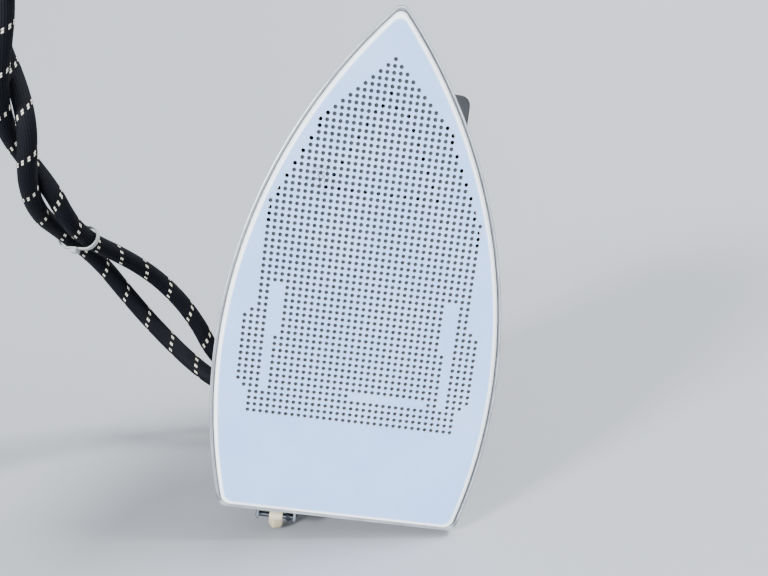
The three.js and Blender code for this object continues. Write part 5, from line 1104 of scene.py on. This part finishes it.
cast_aluminium = sole_casting()
lid_aluminium = metal("pressed_aluminium", "#a3a6aa", "#bbbec2", 0.35, (0.1, 0.1, 0.1))
dark_steel = metal("blued_spring_steel", "#3c3f45", "#575b62", 0.35, (0.3, 0.3, 0.3), 0.05, 0.002)
ceramic = moulded("steatite_ceramic", "#d3cdbd", "#e3decf", 0.35, depth=0.01)
graphite = moulded("pressed_graphite", "#2b2c2e", "#3a3b3d", 0.7)

FINISHES = {  # each material's nodes, and the bevel of each in mm
    cast_aluminium: {"soleplate": 0},
    lid_aluminium: {"chamber_lid": 0.2, "heat_shield": 0},
    plated_steel: {"heating_element": 0, "dial_spindle": 0.2, "handle_rod": 0.3, "handle_nut_rear": 0.4,
                   "lever_pin": 0.2, "hanger_hook": 0},
    dark_steel: {"latch_hook": 0.15, "latch_pin": 0.15, "latch_spring": 0, "lever_spring": 0},
    brass: {"steam_inlet_boss": 0.3, "steam_block": 0.6},
    phenolic: {"switch_box": 0.5, "steam_lever": 0.5, "micro_switch": 0.3, "hanger_block": 0.6},
    nylon: {"switch_plunger": 0.2},
    ceramic: {"thermostat": 0.2, "thermal_fuse": 0.1, "terminal_block": 0.3, "supply_lead_left": 0,
              "supply_lead_right": 0},
    graphite: {"chamber_gasket": 0},
}
for material, nodes in FINISHES.items():
    for name, edge in nodes.items():
        finish_node(name, material, edge)
print("packed nodes finished:", sum(len(nodes) for nodes in FINISHES.values()))

# %% [markdown]
# Both cords' real lengths are printed here. They are held by the tie in the middle, and by the moulded
# block and its hook at the far end.

print("hose and cable are", round(hose_length, 3), "m and", round(cable_length, 3), "m long")

# %% [markdown]
# A pale floor and cool, soft light. All the lights are suns, so the floor is lit evenly out to the horizon,
# and a wide angle makes each as soft as a large lamp. The strongest stands high on the right and behind, so
# the iron's shadow falls to the left. Two low ones in front fill the sole, which faces away from it, and
# hardly light the floor. The one on the left gives each perforation a dark side and a light side.

# %% Studio
FLOOR_SIZE = 60  # m
COOL_WHITE = (0.92, 0.96, 1)
SKY_STRENGTH = 0.6
LIGHTS = [  # name, the direction it shines in, strength in W/m2, and width in degrees
    ("ceiling_light", (-0.75, -0.25, -1), 6.5, 20),
    ("left_light", (1.1, 1.1, -0.65), 7, 13),
    ("front_light", (-0.05, 1.7, -0.2), 4.2, 33),
    ("right_light", (-1.2, 0.3, -0.7), 1.2, 27),
    ("back_light", (-0.3, -1.3, -1), 1, 27),
]

bpy.ops.mesh.primitive_plane_add(size=FLOOR_SIZE, location=(0, 0, 0))
floor = bpy.context.object
floor.name = "studio_floor"
floor_material, _, _ = new_material("pale_floor", "#9d9ea1", 0.6)
floor.data.materials.append(floor_material)
world = bpy.data.worlds.new("studio")
bpy.context.scene.world = world
world.use_nodes = True
background = world.node_tree.nodes["Background"]
background.inputs["Color"].default_value = linear("#dfe7f4")
background.inputs["Strength"].default_value = SKY_STRENGTH
for name, direction, strength, width in LIGHTS:
    light = bpy.data.lights.new(name, "SUN")
    light.energy = strength
    light.angle = math.radians(width)
    light.color = COOL_WHITE
    lamp = bpy.data.objects.new(name, light)
    lamp.location = (0, 0, 1)
    lamp.rotation_euler = Vector(direction).to_track_quat("-Z", "Y").to_euler()
    bpy.context.scene.collection.objects.link(lamp)
print("lights:", [name for name, *_ in LIGHTS])
